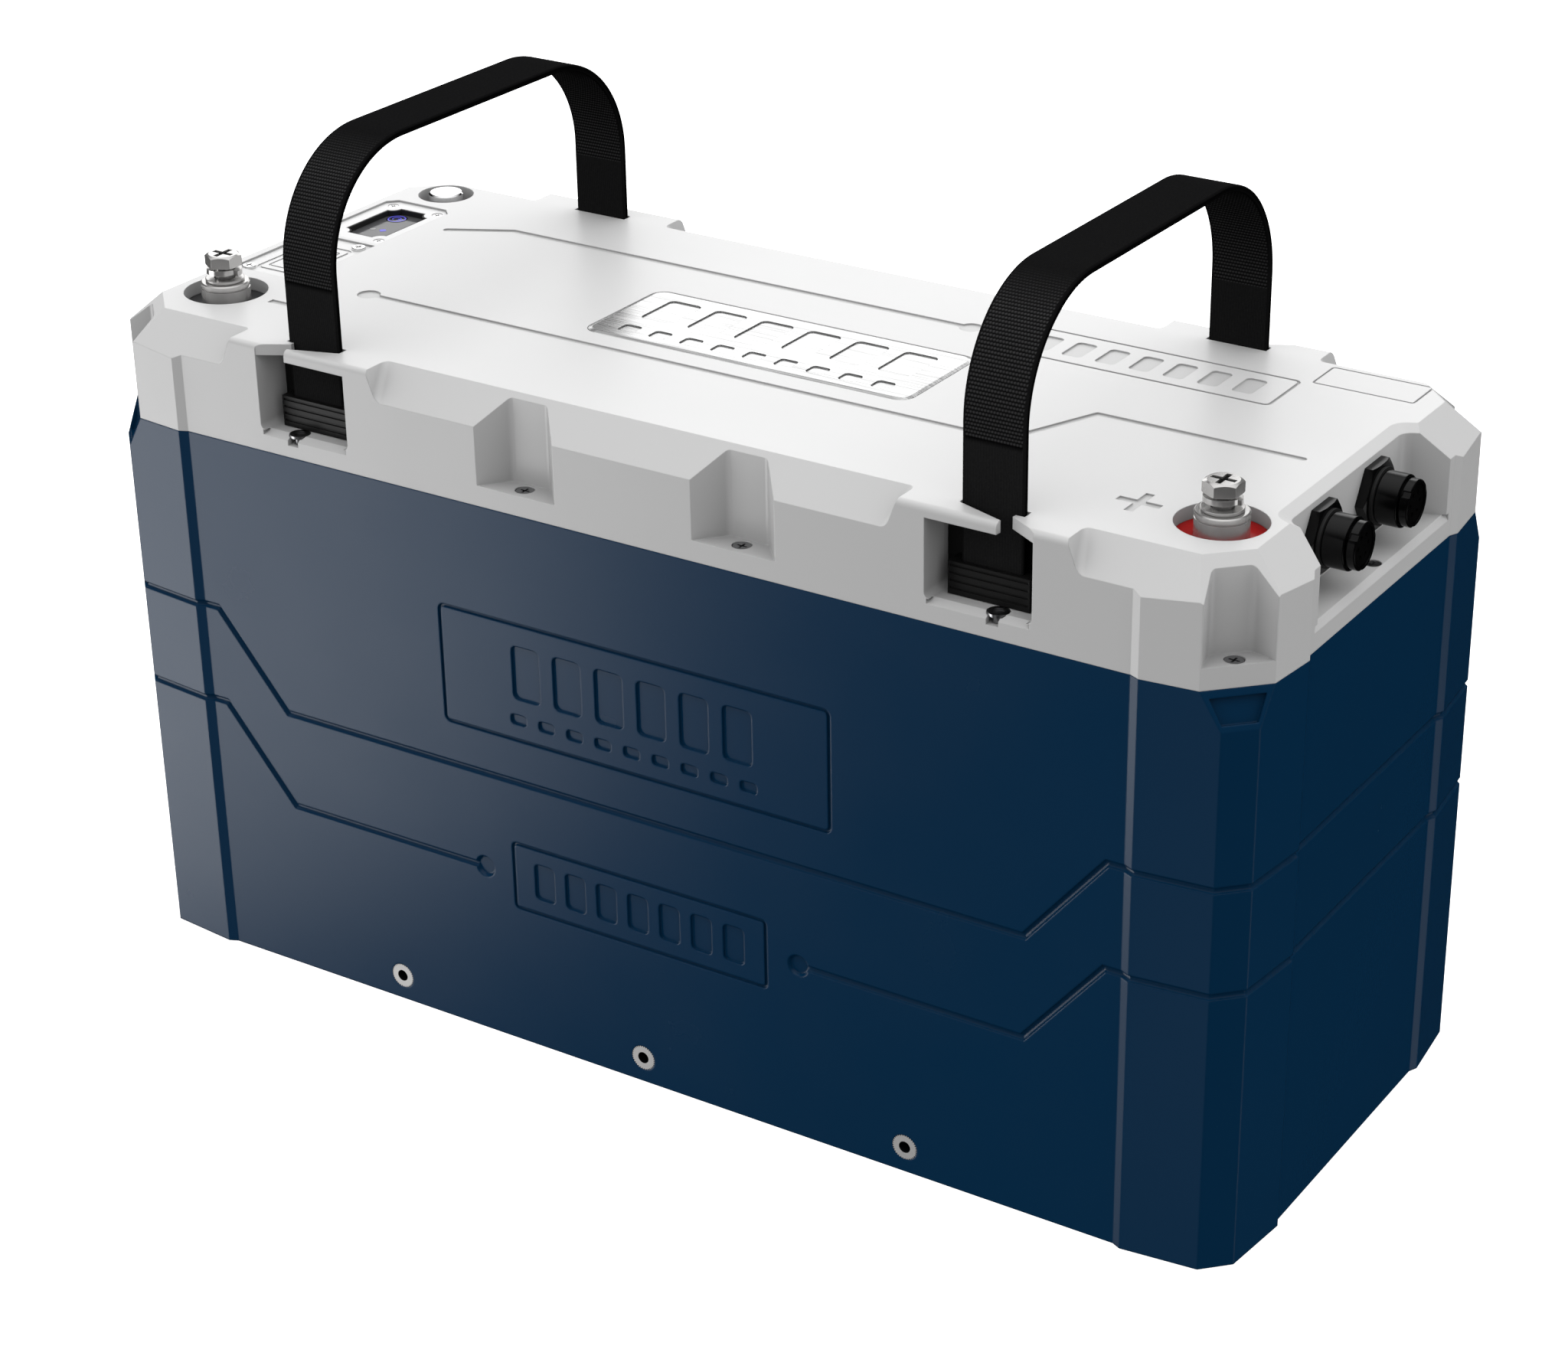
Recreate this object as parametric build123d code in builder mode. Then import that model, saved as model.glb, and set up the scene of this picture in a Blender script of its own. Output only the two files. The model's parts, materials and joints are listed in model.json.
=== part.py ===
"""Deep cycle lithium battery with webbing carry handles, as an assembly of separate pieces.

Frame: +Z up, X along the length, the two data connectors on the +X end, the terminals
towards -Y. The origin is the centre of the case's flat base. All sizes are millimetres.
"""
from build123d import *
import math
import os

os.makedirs("parts", exist_ok=True)

# ---------------------------------------------------------------- driving dimensions
half_length = 260.0        # end wings, X
half_width = 107.5         # front and back wings, Y
seam_z = 235.0             # case to lid joint
top_z = 279.4              # flat top of the lid
panel_recess = 1.7         # each side's centre panel lies this far inside its wings
step_run = 3.7             # length of the slanted step from panel to wing
wing_x = 216.2             # front and back wings start here
wing_y = 63.8              # end wings start here
wing_slope = 0.104         # wings lean back towards the corners
case_chamfer_x = 246.9     # where the case's corner chamfer starts
lid_chamfer_x = 238.5      # the lid's corner chamfer is wider
wall = 3.2
floor = 4.0
flange_width = 12.0        # sealing flange all round the case mouth
flange_z = 229.0
gasket_z = 233.5           # rebate for the flat gasket, up to the seam
gusset_drop = 14.0         # height of the corner relief under the lid

top_groove_depth = 0.6     # grooves, frames, bars and polarity marks in the lid
cover_groove_depth = 0.4   # the frames in the service cover

panel_y = half_width - panel_recess
panel_x = half_length - panel_recess
groove_radius = 1.4
upper_groove_z = (159.3, 119.6)      # on the wings, and on the panel's low stretch
lower_groove_z = (116.3, 76.7)
groove_turn_x = (205.5, 172.5)       # where the groove leaves its high and low stretches
groove_end_x = 74.5                  # the lower groove ends in a round dimple
dimple_radius = 4.7

bevel_run = 13.1           # top edge bevel, across
bevel_drop = 12.1          # and down
corner_bevel_run = 13.9
bevel_end_lean = 4.6       # slant of a bevel's end walls, over the bevel's drop
bevel_end_radius = 3.2     # rounding where an end wall meets the bevel
bay_zone = (118.8, 186.6)  # the top stays full width between these, around each strap bay
bay_x = (130.0, 173.5)     # strap bay, inner and outer side
bay_mid = sum(bay_x) / 2
bay_floor = 244.0
bay_roof = 274.8
bay_back = 89.2
liner_thickness = 1.2      # black plate on the back wall of each bay
roof_under = 274.0         # underside of the lid's roof

strap_x = 151.9
strap_width = 25.0
strap_thickness = 3.0
strap_leg = 96.0           # outer face of a leg, Y
strap_top = 356.4          # outer face of the arch, Z
strap_corner = 47.0        # outer corner radius of the arch
slot_x = (strap_x - strap_width / 2 - 0.5, strap_x + strap_width / 2 + 0.5)
anchor_size = (33.2, 7.6, 12.6)
anchor_y = 94.2
anchor_lift = 0.3          # rest gap under each anchor

pocket_x = 49.2            # screw pockets along the front and back
end_pocket_y = 34.0        # screw pockets on the plain end
pocket_floor = 243.5
pocket_mouth = 18.2        # half width at the wall
pocket_back = 8.6          # half width at the back
pocket_depth = 11.0
corner_pocket_depth = 9.6
corner_pocket_mouth = 13.2
corner_pocket_back = 7.6
screw_inset = 6.0          # pocket screws, in from the centre panel
screw_radius = 3.5         # heads of the lid screws in the pockets
screw_drop = 2.1           # their heads start this far under the pocket's floor
seat_gap = 0.3             # clearance round a screw's head in its seat
bay_screw_inset = 4.6
bay_screw_radius = 4.0     # the bays' screws have flat heads
bay_screw_drop = 1.1
scallop_width = 5.0        # opening in the sill in front of each of them
scallop_floor = 240.0

terminal_x = 224.4
terminal_y = -64.1
well_radius = 16.9
post_radius = 9.85
post_top = 283.9
thread_radius = 4.0        # M8
hex_corner = 7.5           # M8 head, 13 mm across flats
bolt_head_z = (290.3, 295.2)

vent_at = (-225.3, 79.7)
plate_x = (-241.3, -208.0)           # display bezel and service cover
bezel_y = (12.0, 62.5)
cover_y = (-40.0, 9.6)
plate_sink = 0.8
plate_thickness = 2.4
glass_z = 276.2                      # top of the display window
bezel_cut = 4.0                      # the bezel's two far corners are cut off
window_mid = (-224.1, 37.6)
window_size = (21.8, 36.2)
window_corner = 4.2                  # the window's corners are scooped out
button_at = (-228.3, 49.3)
button_radius = 4.3

recess_wall_x = 242.0      # connector recess on the right end
recess_floor = 245.0
recess_half = 47.7
recess_splay = 0.48
recess_rim = (4.5, 2.3)    # sloped rim: across, down
connector_y = 22.2
connector_z = 262.2
recess_screw_at = (recess_wall_x + 11.0, 1.8)
recess_screw_radius = 3.0
nut_corner = 14.3
sleeve_radius = 10.0
sleeve_x = (5.3, 14.0)     # the turning sleeve, out from the recess wall
barrel_radius = 9.0
barrel_start = 14.8        # the fixed end of the shell starts here
core_radius = 7.9

insert_x = 122.0           # threaded inserts in a line near the base
insert_z = 11.0
insert_radius = 5.4
insert_depth = 12.0
insert_thread = 2.5        # M6 tapping size
insert_teeth = 33          # knurl round each insert
tooth_depth = 0.6

cell_size = (54.0, 174.0, 200.0)
cell_count = 8
cell_pitch = 55.0
cell_base = 8.0
post_y = 55.0              # cell terminals

SIDES = (-1, 1)
CORNERS = [(sx, sy) for sx in SIDES for sy in SIDES]


# ---------------------------------------------------------------- shared outlines
def plan_outline(chamfer_x):
    """Stepped plan outline; the corner chamfer starts at chamfer_x and runs at 45 degrees."""
    chamfer_y = half_width - wing_slope * (chamfer_x - wing_x)
    reach = chamfer_x + chamfer_y
    end_y = (reach - half_length - wing_slope * wing_y) / (1 - wing_slope)
    quarter = [
        (wing_x - step_run, panel_y),
        (wing_x, half_width),
        (chamfer_x, chamfer_y),
        (reach - end_y, end_y),
        (half_length, wing_y),
        (panel_x, wing_y - step_run),
    ]
    right_front = [(x, -y) for x, y in reversed(quarter)]
    left_front = [(-x, -y) for x, y in quarter]
    left_back = [(-x, y) for x, y in reversed(quarter)]
    return quarter + right_front + left_front + left_back


def corner_reach(chamfer_x):
    """Distance from the origin to the corner chamfer's plane."""
    chamfer_y = half_width - wing_slope * (chamfer_x - wing_x)
    return (chamfer_x + chamfer_y) / math.sqrt(2)


def inner_outline(inset):
    """Plain octagon inside the lid's outline, inset from the centre panels and the corners."""
    half_x = panel_x - inset
    half_y = panel_y - inset
    reach = (corner_reach(lid_chamfer_x) - inset) * math.sqrt(2)
    quarter = [(reach - half_y, half_y), (half_x, reach - half_x)]
    right_front = [(x, -y) for x, y in reversed(quarter)]
    left_front = [(-x, -y) for x, y in quarter]
    left_back = [(-x, y) for x, y in reversed(quarter)]
    return quarter + right_front + left_front + left_back


def corner_centre():
    """Middle of the lid's corner chamfer in plan, for the +X +Y corner."""
    start_y = half_width - wing_slope * (lid_chamfer_x - wing_x)
    reach = lid_chamfer_x + start_y
    end_y = (reach - half_length - wing_slope * wing_y) / (1 - wing_slope)
    return (lid_chamfer_x + reach - end_y) / 2, (start_y + end_y) / 2


def face_point(direction, shift=0.0):
    """Middle of an end panel's face, or of a corner chamfer's face, moved outwards by shift."""
    dx, dy = direction
    if dy == 0:
        return dx * (panel_x + shift), 0.0
    cx, cy = corner_centre()
    return dx * (cx + shift * math.sqrt(0.5)), dy * (cy + shift * math.sqrt(0.5))


def upright_plane(direction):
    """Vertical plane across a face: local x runs outwards from the face, local y runs up."""
    dx, dy = direction
    return Plane(origin=(*face_point(direction), 0), x_dir=(dx, dy, 0), z_dir=(dy, -dx, 0))


def flat_plane(direction, height):
    """Horizontal plane at a height: local x runs outwards from the face."""
    dx, dy = direction
    return Plane(origin=(*face_point(direction), height), x_dir=(dx, dy, 0), z_dir=(0, 0, 1))


def side_plane(side):
    """Plane of the front (-1) or back (1) centre panel, facing out, local y up."""
    return Plane(origin=(0, side * panel_y, 0), x_dir=(-side, 0, 0), z_dir=(0, side, 0))


def trapezoid(mouth, back, depth, lead=3.0):
    """Pocket outline: the mouth lies at x = 0 and the pocket runs to x = -depth."""
    return [(lead, -mouth), (lead, mouth), (0, mouth), (-depth, back), (-depth, -back), (0, -mouth)]


lid_screw_at = (
    [(sx * pocket_x, sy * (panel_y - screw_inset)) for sx in SIDES for sy in SIDES]
    + [(sx * (bay_mid + 6.0), sy * (panel_y - bay_screw_inset)) for sx in SIDES for sy in SIDES]
    + [face_point(corner, -4.6) for corner in CORNERS]
    + [(-(panel_x - screw_inset), sy * end_pocket_y) for sy in SIDES]
    + [recess_screw_at]
)


def in_bay(x):
    """True for the lid screws that sit in a strap bay."""
    return abs(abs(x) - bay_mid) < 8


def screw_sizes(x, y):
    """Floor that a lid screw sits in, how far its head lies under it, and the head's radius."""
    if in_bay(x):
        return bay_floor, bay_screw_drop, bay_screw_radius
    if (x, y) == recess_screw_at:
        return recess_floor, screw_drop, recess_screw_radius
    return pocket_floor, screw_drop, screw_radius


# ---------------------------------------------------------------- case
def groove_rod(points):
    """Round rod with mitred bends, used to cut a groove that follows the case's sides."""
    with BuildPart() as rod:
        with BuildLine() as route:
            Polyline(*points)
        with BuildSketch(Plane(origin=points[0], z_dir=route.line % 0)):
            Circle(groove_radius)
        sweep(transition=Transition.RIGHT)
    return rod.part


def groove_route(heights, start_x):
    """Half of a groove: along the front panel, round the right end, back along the rear panel."""
    high, low = heights
    turn_high, turn_low = groove_turn_x
    front = [(start_x, low), (turn_low, low), (turn_high, high)]
    bend = [(x, y, high) for x, y in plan_outline(case_chamfer_x)[:12]]
    back = [(x, panel_y, z) for x, z in front]
    return back + bend + [(x, -panel_y, z) for x, z in reversed(front)]


def bars(count, pitch, size, radius):
    """Row of plain rounded bars, centred."""
    with GridLocations(pitch, 1, count, 1):
        RectangleRounded(size[0], size[1], radius)


def frame_ring(size, radius, line):
    """Thin rounded rectangular outline."""
    RectangleRounded(size[0], size[1], radius)
    RectangleRounded(size[0] - 2 * line, size[1] - 2 * line, radius - line, mode=Mode.SUBTRACT)


upper_rod = groove_rod(groove_route(upper_groove_z, 0.0))
lower_rod = groove_rod(groove_route(lower_groove_z, groove_end_x))

with BuildPart() as case:
    with BuildSketch():
        Polygon(*plan_outline(case_chamfer_x), align=None)
    extrude(amount=seam_z)
    # corner relief under the lid's wider chamfer, with a shallow trapezoid pocket in each
    relief = corner_reach(case_chamfer_x) - corner_reach(lid_chamfer_x)
    low_z = seam_z - gusset_drop
    for corner in CORNERS:
        with BuildSketch(upright_plane(corner)):
            Polygon((0, seam_z), (relief, low_z), (relief + 9, low_z), (relief + 9, seam_z), align=None)
        extrude(amount=30, both=True, mode=Mode.SUBTRACT)
        cx, cy = corner
        slope = (cx * gusset_drop * math.sqrt(0.5), cy * gusset_drop * math.sqrt(0.5), relief)
        with BuildSketch(Plane(origin=(*face_point(corner, relief / 2), (seam_z + low_z) / 2),
                               x_dir=(-cy, cx, 0), z_dir=slope)):
            Polygon((-10.4, 4.6), (10.4, 4.6), (6.6, -5.2), (-6.6, -5.2), align=None)
        extrude(amount=-2, mode=Mode.SUBTRACT)
    # cavity, sealing flange and gasket rebate
    with BuildSketch(Plane.XY.offset(floor)):
        Polygon(*inner_outline(wall), align=None)
    extrude(amount=flange_z - floor, mode=Mode.SUBTRACT)
    with BuildSketch(Plane.XY.offset(flange_z)):
        Polygon(*inner_outline(flange_width), align=None)
    extrude(amount=gasket_z - flange_z, mode=Mode.SUBTRACT)
    with BuildSketch(Plane.XY.offset(gasket_z)):
        Polygon(*inner_outline(wall), align=None)
    extrude(amount=seam_z - gasket_z, mode=Mode.SUBTRACT)
    # screw bosses under the flange, and bosses for the threaded inserts
    with BuildSketch(Plane.XY.offset(flange_z - 17)):
        with Locations(*lid_screw_at):
            Circle(4.6)
        Polygon(*inner_outline(wall - 0.5), align=None, mode=Mode.INTERSECT)
    extrude(amount=17)
    with BuildSketch(Plane.XY.offset(flange_z - 14)):
        with Locations(*lid_screw_at):
            Circle(1.6)
    extrude(amount=30, mode=Mode.SUBTRACT)
    for side in SIDES:
        with Locations(*[(x, side * (panel_y - 8.2), insert_z - 1) for x in (-insert_x, 0, insert_x)]):
            Box(18, 13, 19)
        with BuildSketch(side_plane(side)):
            with Locations(*[(x, insert_z) for x in (-insert_x, 0, insert_x)]):
                Circle(insert_radius)
        extrude(amount=-insert_depth, mode=Mode.SUBTRACT)
    # circuit-like grooves round the sides, with round dimples where the lower one ends
    for rod in (upper_rod, lower_rod):
        add(rod, mode=Mode.SUBTRACT)
        add(rod.mirror(Plane.YZ), mode=Mode.SUBTRACT)
    for side in SIDES:
        with BuildSketch(side_plane(side)):
            with Locations((-groove_end_x, lower_groove_z[1]), (groove_end_x, lower_groove_z[1])):
                Circle(dimple_radius)
        extrude(amount=-1.6, taper=28, mode=Mode.SUBTRACT)
        # two framed fields with plain bars in them
        with BuildSketch(side_plane(side)):
            with Locations((0, 163.7)):
                frame_ring((180.5, 51.5), 3.0, 1.3)
            with Locations((0, 77.0)):
                frame_ring((121.0, 30.5), 2.5, 1.3)
        extrude(amount=-0.9, mode=Mode.SUBTRACT)
        with BuildSketch(side_plane(side)):
            with Locations((0, 168.0)):
                bars(6, 19.6, (13.0, 23.0), 2.5)
            with Locations((0, 147.6)):
                bars(9, 13.4, (7.6, 4.4), 1.6)
            with Locations((0, 77.0)):
                bars(7, 15.0, (9.6, 16.0), 2.2)
        extrude(amount=-1.1, mode=Mode.SUBTRACT)
case.part.label = "case"
export_step(case.part, "parts/case.step")

with BuildPart() as threaded_inserts:
    for side in SIDES:
        with BuildSketch(side_plane(side)):
            with Locations(*[(x, insert_z) for x in (-insert_x, 0, insert_x)]):
                Circle(insert_radius)
                Circle(insert_thread, mode=Mode.SUBTRACT)
                with PolarLocations(insert_radius, insert_teeth):
                    Polygon((0.1, -0.42), (0.1, 0.42), (-tooth_depth, 0), align=None,
                            mode=Mode.SUBTRACT)
        extrude(amount=-(insert_depth - 0.5))
threaded_inserts.part.label = "threaded_inserts"
export_step(threaded_inserts.part, "parts/threaded_inserts.step")

# ---------------------------------------------------------------- lid
with BuildPart() as lid_hollow:
    for low, high, inset in ((seam_z, 240.0, flange_width), (240.0, 263.0, 3.6),
                             (263.0, roof_under, 12.4)):
        with BuildSketch(Plane.XY.offset(low)):
            Polygon(*inner_outline(inset), align=None)
        extrude(amount=high - low)
    # solid housings are left round every pocket, bay, recess and the vent well
    for corner in CORNERS:
        with BuildSketch(flat_plane(corner, seam_z)):
            with Locations((6, 0)):
                Rectangle(40, 100)
        extrude(amount=60, mode=Mode.SUBTRACT)
    with BuildSketch(Plane.XY.offset(seam_z)):
        Polygon((238.6, -50.6), (238.6, 50.6), (258.6, 60.4), (258.6, -60.4), align=None)
    extrude(amount=60, mode=Mode.SUBTRACT)
    housings = [(sx * pocket_x, sy * 100.0, 45.0, 17.0) for sx in SIDES for sy in SIDES]
    housings += [(sx * bay_mid, sy * 97.0, bay_x[1] - bay_x[0] + 7, 23.0) for sx in SIDES for sy in SIDES]
    housings += [(-252.0, sy * end_pocket_y, 17.0, 45.0) for sy in SIDES]
    for x, y, size_x, size_y in housings:
        with BuildSketch(Plane.XY.offset(seam_z)):
            with Locations((x, y)):
                Rectangle(size_x, size_y)
        extrude(amount=60, mode=Mode.SUBTRACT)
    with BuildSketch(Plane.XY.offset(267.5)):
        with Locations(vent_at):
            Circle(15)
    extrude(amount=20, mode=Mode.SUBTRACT)


def edge_bevel(low_x, high_x):
    """Cutter for the front edge bevel between two X stations, with slanted, rounded ends."""
    top = panel_y - bevel_run
    slope = bevel_drop / bevel_run
    depth = 3 * bevel_drop
    lean = bevel_end_lean / bevel_drop
    with BuildPart() as cutter:
        with BuildSketch(Plane.YZ):
            Polygon((-top + 0.5, top_z + 0.5 * slope), (-top - 30, top_z + 0.5 * slope),
                    (-top - 30, top_z - 30 * slope), align=None)
        extrude(amount=300, both=True)
        with BuildSketch(Plane.XZ):
            Polygon((low_x - lean, top_z + 1), (high_x + lean, top_z + 1),
                    (high_x - depth * lean, top_z - depth), (low_x + depth * lean, top_z - depth),
                    align=None)
        extrude(amount=200, both=True, mode=Mode.INTERSECT)
        sloped = cutter.faces().filter_by(lambda f: f.normal_at().Z < -0.1 and f.normal_at().Y > 0.1)
        ends = sloped.edges().filter_by(lambda e: abs(e.tangent_at(0).Y) > 0.1)
        fillet(ends, radius=bevel_end_radius)
    return cutter.part


bevel_cutters = [edge_bevel(-bay_zone[0], bay_zone[0]), edge_bevel(bay_zone[1], 300.0)]
bevel_cutters.append(bevel_cutters[1].mirror(Plane.YZ))

with BuildPart() as lid:
    with BuildSketch(Plane.XY.offset(seam_z)):
        Polygon(*plan_outline(lid_chamfer_x), align=None)
    extrude(amount=top_z - seam_z)
    # bevels: front and back between the strap bays, both ends, four corners
    for cutter in bevel_cutters:
        add(cutter, mode=Mode.SUBTRACT)
        add(cutter.mirror(Plane.XZ), mode=Mode.SUBTRACT)
    directions = [((sx, 0), bevel_run) for sx in SIDES]
    directions += [(corner, corner_bevel_run) for corner in CORNERS]
    for direction, run in directions:
        with BuildSketch(upright_plane(direction)):
            Polygon((-run - 0.5, top_z + 0.5 * bevel_drop / run), (30, top_z + 5),
                    (30, top_z - (30 + run) * bevel_drop / run), align=None)
        extrude(amount=120, both=True, mode=Mode.SUBTRACT)
    # the full-width stretches over the bays keep a small rounded edge
    rim = lid.edges().filter_by(Axis.X).filter_by(
        lambda e: abs(e.center().Z - top_z) < 0.01 and abs(abs(e.center().Y) - panel_y) < 0.01)
    fillet(rim, radius=2.4)
    add(lid_hollow.part, mode=Mode.SUBTRACT)
    # screw pockets along the front, back and plain end
    pockets = [((0, sy), (sx * pocket_x, 0), panel_y) for sx in SIDES for sy in SIDES]
    pockets += [((-1, 0), (0, sy * end_pocket_y), panel_x) for sy in SIDES]
    for (cx, cy), (mx, my), face in pockets:
        mouth_plane = Plane(origin=(cx * face + mx, cy * face + my, pocket_floor),
                            x_dir=(cx, cy, 0), z_dir=(0, 0, 1))
        with BuildSketch(mouth_plane) as pocket_plan:
            Polygon(*trapezoid(pocket_mouth, pocket_back, pocket_depth), align=None)
            fillet(pocket_plan.vertices().sort_by(Axis.X)[:2], radius=3)
        extrude(amount=60, mode=Mode.SUBTRACT)
    # deeper pockets across the four corner chamfers
    for corner in CORNERS:
        with BuildSketch(flat_plane(corner, pocket_floor)) as pocket_plan:
            Polygon(*trapezoid(corner_pocket_mouth, corner_pocket_back, corner_pocket_depth),
                    align=None)
            fillet(pocket_plan.vertices().sort_by(Axis.X)[:2], radius=3)
        extrude(amount=60, mode=Mode.SUBTRACT)
    # strap bays: window, sloped sill, and the slot with its slanted mouth slit
    for sx in SIDES:
        for sy in SIDES:
            with BuildSketch(side_plane(sy)) as window:
                with Locations((-sy * sx * bay_mid, (bay_floor + bay_roof) / 2)):
                    Rectangle(bay_x[1] - bay_x[0], bay_roof - bay_floor)
                fillet(window.vertices().sort_by(Axis.Y)[:2], radius=2.5)
            extrude(amount=bay_back - liner_thickness - panel_y, mode=Mode.SUBTRACT)
            with BuildSketch(Plane.YZ.offset(sx * bay_mid)):
                Polygon((sy * (panel_y - 3.2), bay_floor + 0.01), (sy * (panel_y + 2), bay_floor + 0.01),
                        (sy * (panel_y + 2), bay_floor - 3.0), (sy * panel_y, bay_floor - 1.9),
                        align=None)
            extrude(amount=(bay_x[1] - bay_x[0]) / 2 - 1.0, both=True, mode=Mode.SUBTRACT)
            slit = [(slot_x[0], 91.9), (slot_x[1], 91.9), (slot_x[1], 96.4), (161.4, 96.4),
                    (161.2, 98.3), (bay_x[1], 105.4), (bay_x[1], 110.0), (158.6, 110.0),
                    (159.2, 103.2), (slot_x[0], 96.4)]
            with BuildSketch(Plane.XY.offset(bay_roof - 1)):
                Polygon(*[(sx * x, sy * y) for x, y in slit], align=None)
            extrude(amount=20, mode=Mode.SUBTRACT)
    # connector recess on the right end
    splayed = [(recess_wall_x, -recess_half), (recess_wall_x, recess_half),
               (recess_wall_x + 20, recess_half + 20 * recess_splay),
               (recess_wall_x + 20, -recess_half - 20 * recess_splay)]
    rim_half = recess_half + 5.0 - recess_rim[0] * recess_splay
    rim_wide = recess_half + 5.0 + 20 * recess_splay
    rim_back = recess_wall_x - recess_rim[0]
    splayed_rim = [(rim_back, -rim_half), (rim_back, rim_half),
                   (recess_wall_x + 20, rim_wide), (recess_wall_x + 20, -rim_wide)]
    with BuildSketch(Plane.XY.offset(recess_floor)) as recess_plan:
        Polygon(*splayed, align=None)
        fillet(recess_plan.vertices().sort_by(Axis.X)[:2], radius=6)
    extrude(amount=60, mode=Mode.SUBTRACT)
    with BuildSketch(Plane.XY.offset(top_z - recess_rim[1])) as low_rim:
        Polygon(*splayed, align=None)
        fillet(low_rim.vertices().sort_by(Axis.X)[:2], radius=6)
    with BuildSketch(Plane.XY.offset(top_z + 0.02)) as high_rim:
        Polygon(*splayed_rim, align=None)
        fillet(high_rim.vertices().sort_by(Axis.X)[:2], radius=8)
    loft(mode=Mode.SUBTRACT)
    with BuildSketch(Plane.XZ):
        Polygon((panel_x - 1.7, recess_floor + 0.01), (panel_x, recess_floor - 2.8),
                (panel_x + 4, recess_floor - 2.8), (panel_x + 4, recess_floor + 0.01), align=None)
    extrude(amount=57.4, both=True, mode=Mode.SUBTRACT)
    # countersunk seats for the lid screws; in the bays, flat seats over an open scallop
    for x, y in lid_screw_at:
        seat, drop, head = screw_sizes(x, y)
        with BuildSketch(Plane.XY.offset(seat + 0.5)):
            with Locations((x, y)):
                Circle(head + seat_gap)
        extrude(amount=-0.5 - drop, mode=Mode.SUBTRACT)
        with BuildSketch(Plane.XY.offset(seam_z - 1)):
            with Locations((x, y)):
                Circle(2.0)
        extrude(amount=12, mode=Mode.SUBTRACT)
        if in_bay(x):
            with BuildSketch(Plane.XY.offset(scallop_floor)):
                with Locations((x, y)):
                    Circle(3.4)
                with Locations((x, math.copysign(panel_y, y))):
                    Rectangle(scallop_width, 2 * bay_screw_inset)
            extrude(amount=bay_floor - 0.5 - scallop_floor, mode=Mode.SUBTRACT)
    # terminal wells, vent well and stem hole
    with BuildSketch(Plane.XY.offset(roof_under - 1)):
        with Locations(*[(sx * terminal_x, terminal_y) for sx in SIDES]):
            Circle(well_radius)
    extrude(amount=20, mode=Mode.SUBTRACT)
    with BuildSketch(Plane.XY.offset(273.0)):
        with Locations(vent_at):
            Circle(12.0)
    extrude(amount=20, mode=Mode.SUBTRACT)
    with BuildSketch(Plane.XY.offset(260.0)):
        with Locations(vent_at):
            Circle(5.0)
    extrude(amount=20, mode=Mode.SUBTRACT)
    # sunk seats for the display bezel and the service cover, open below
    for y_low, y_high in (bezel_y, cover_y):
        with BuildSketch(Plane.XY.offset(top_z - plate_sink - plate_thickness)) as seat_plan:
            with Locations(((plate_x[0] + plate_x[1]) / 2, (y_low + y_high) / 2)):
                Rectangle(plate_x[1] - plate_x[0] + 0.3, y_high - y_low + 0.3)
            if y_high == bezel_y[1]:
                chamfer(seat_plan.vertices().sort_by(Axis.Y)[-2:], length=bezel_cut)
        extrude(amount=20, mode=Mode.SUBTRACT)
        with BuildSketch(Plane.XY.offset(roof_under - 1)):
            with Locations(((plate_x[0] + plate_x[1]) / 2, (y_low + y_high) / 2)):
                Rectangle(24.5, y_high - y_low - 11)
        extrude(amount=20, mode=Mode.SUBTRACT)
    # holes for the connector barrels
    with BuildSketch(Plane.YZ.offset(recess_wall_x - 8)):
        with Locations((-connector_y, connector_z), (connector_y, connector_z)):
            Circle(core_radius + 0.1)
    extrude(amount=12, mode=Mode.SUBTRACT)
    # grooves, frames, bars and polarity marks in the top
    with BuildSketch(Plane.XY.offset(top_z)):
        front_run = [(-168.0, -38.0), (123.7, -38.0), (140.6, 0.8), (224.0, 0.8)]
        back_run = [(-195.0, 42.0), (-170.0, 55.2), (50.0, 55.2)]
        for run, width in ((front_run, 3.0), (back_run, 3.4)):
            for (x1, y1), (x2, y2) in zip(run, run[1:]):
                with Locations(((x1 + x2) / 2, (y1 + y2) / 2)):
                    SlotCenterToCenter(math.hypot(x2 - x1, y2 - y1), width,
                                       rotation=math.degrees(math.atan2(y2 - y1, x2 - x1)))
        with Locations((-172.0, -38.0), (54.5, 55.2)):
            Circle(4.7)
        with Locations((132.0, 55.5)):
            frame_ring((118.0, 29.6), 3.0, 1.2)
            bars(7, 14.6, (8.6, 15.4), 2.0)
        with Locations((215.2, 80.4)):
            frame_ring((42.0, 19.4), 1.6, 0.8)
        with Locations((192.5, -64.4)):
            Rectangle(17.0, 3.4)
            Rectangle(3.4, 17.0)
        with Locations((-192.5, -64.4)):
            Rectangle(17.0, 3.4)
    extrude(amount=-top_groove_depth, mode=Mode.SUBTRACT)
    # seat of the badge plate
    with BuildSketch(Plane.XY.offset(top_z - 0.8)):
        with Locations((-0.4, 0.6)):
            RectangleRounded(149.6, 53.6, 6.3)
    extrude(amount=5, mode=Mode.SUBTRACT)
lid.part.label = "lid"
export_step(lid.part, "parts/lid.step")

with BuildPart() as lid_gasket:
    with BuildSketch(Plane.XY.offset(gasket_z)):
        Polygon(*inner_outline(wall), align=None)
        Polygon(*inner_outline(flange_width), align=None, mode=Mode.SUBTRACT)
        with Locations(*lid_screw_at):
            Circle(2.2, mode=Mode.SUBTRACT)
    extrude(amount=seam_z - gasket_z)
lid_gasket.part.label = "lid_gasket"
export_step(lid_gasket.part, "parts/lid_gasket.step")


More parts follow.
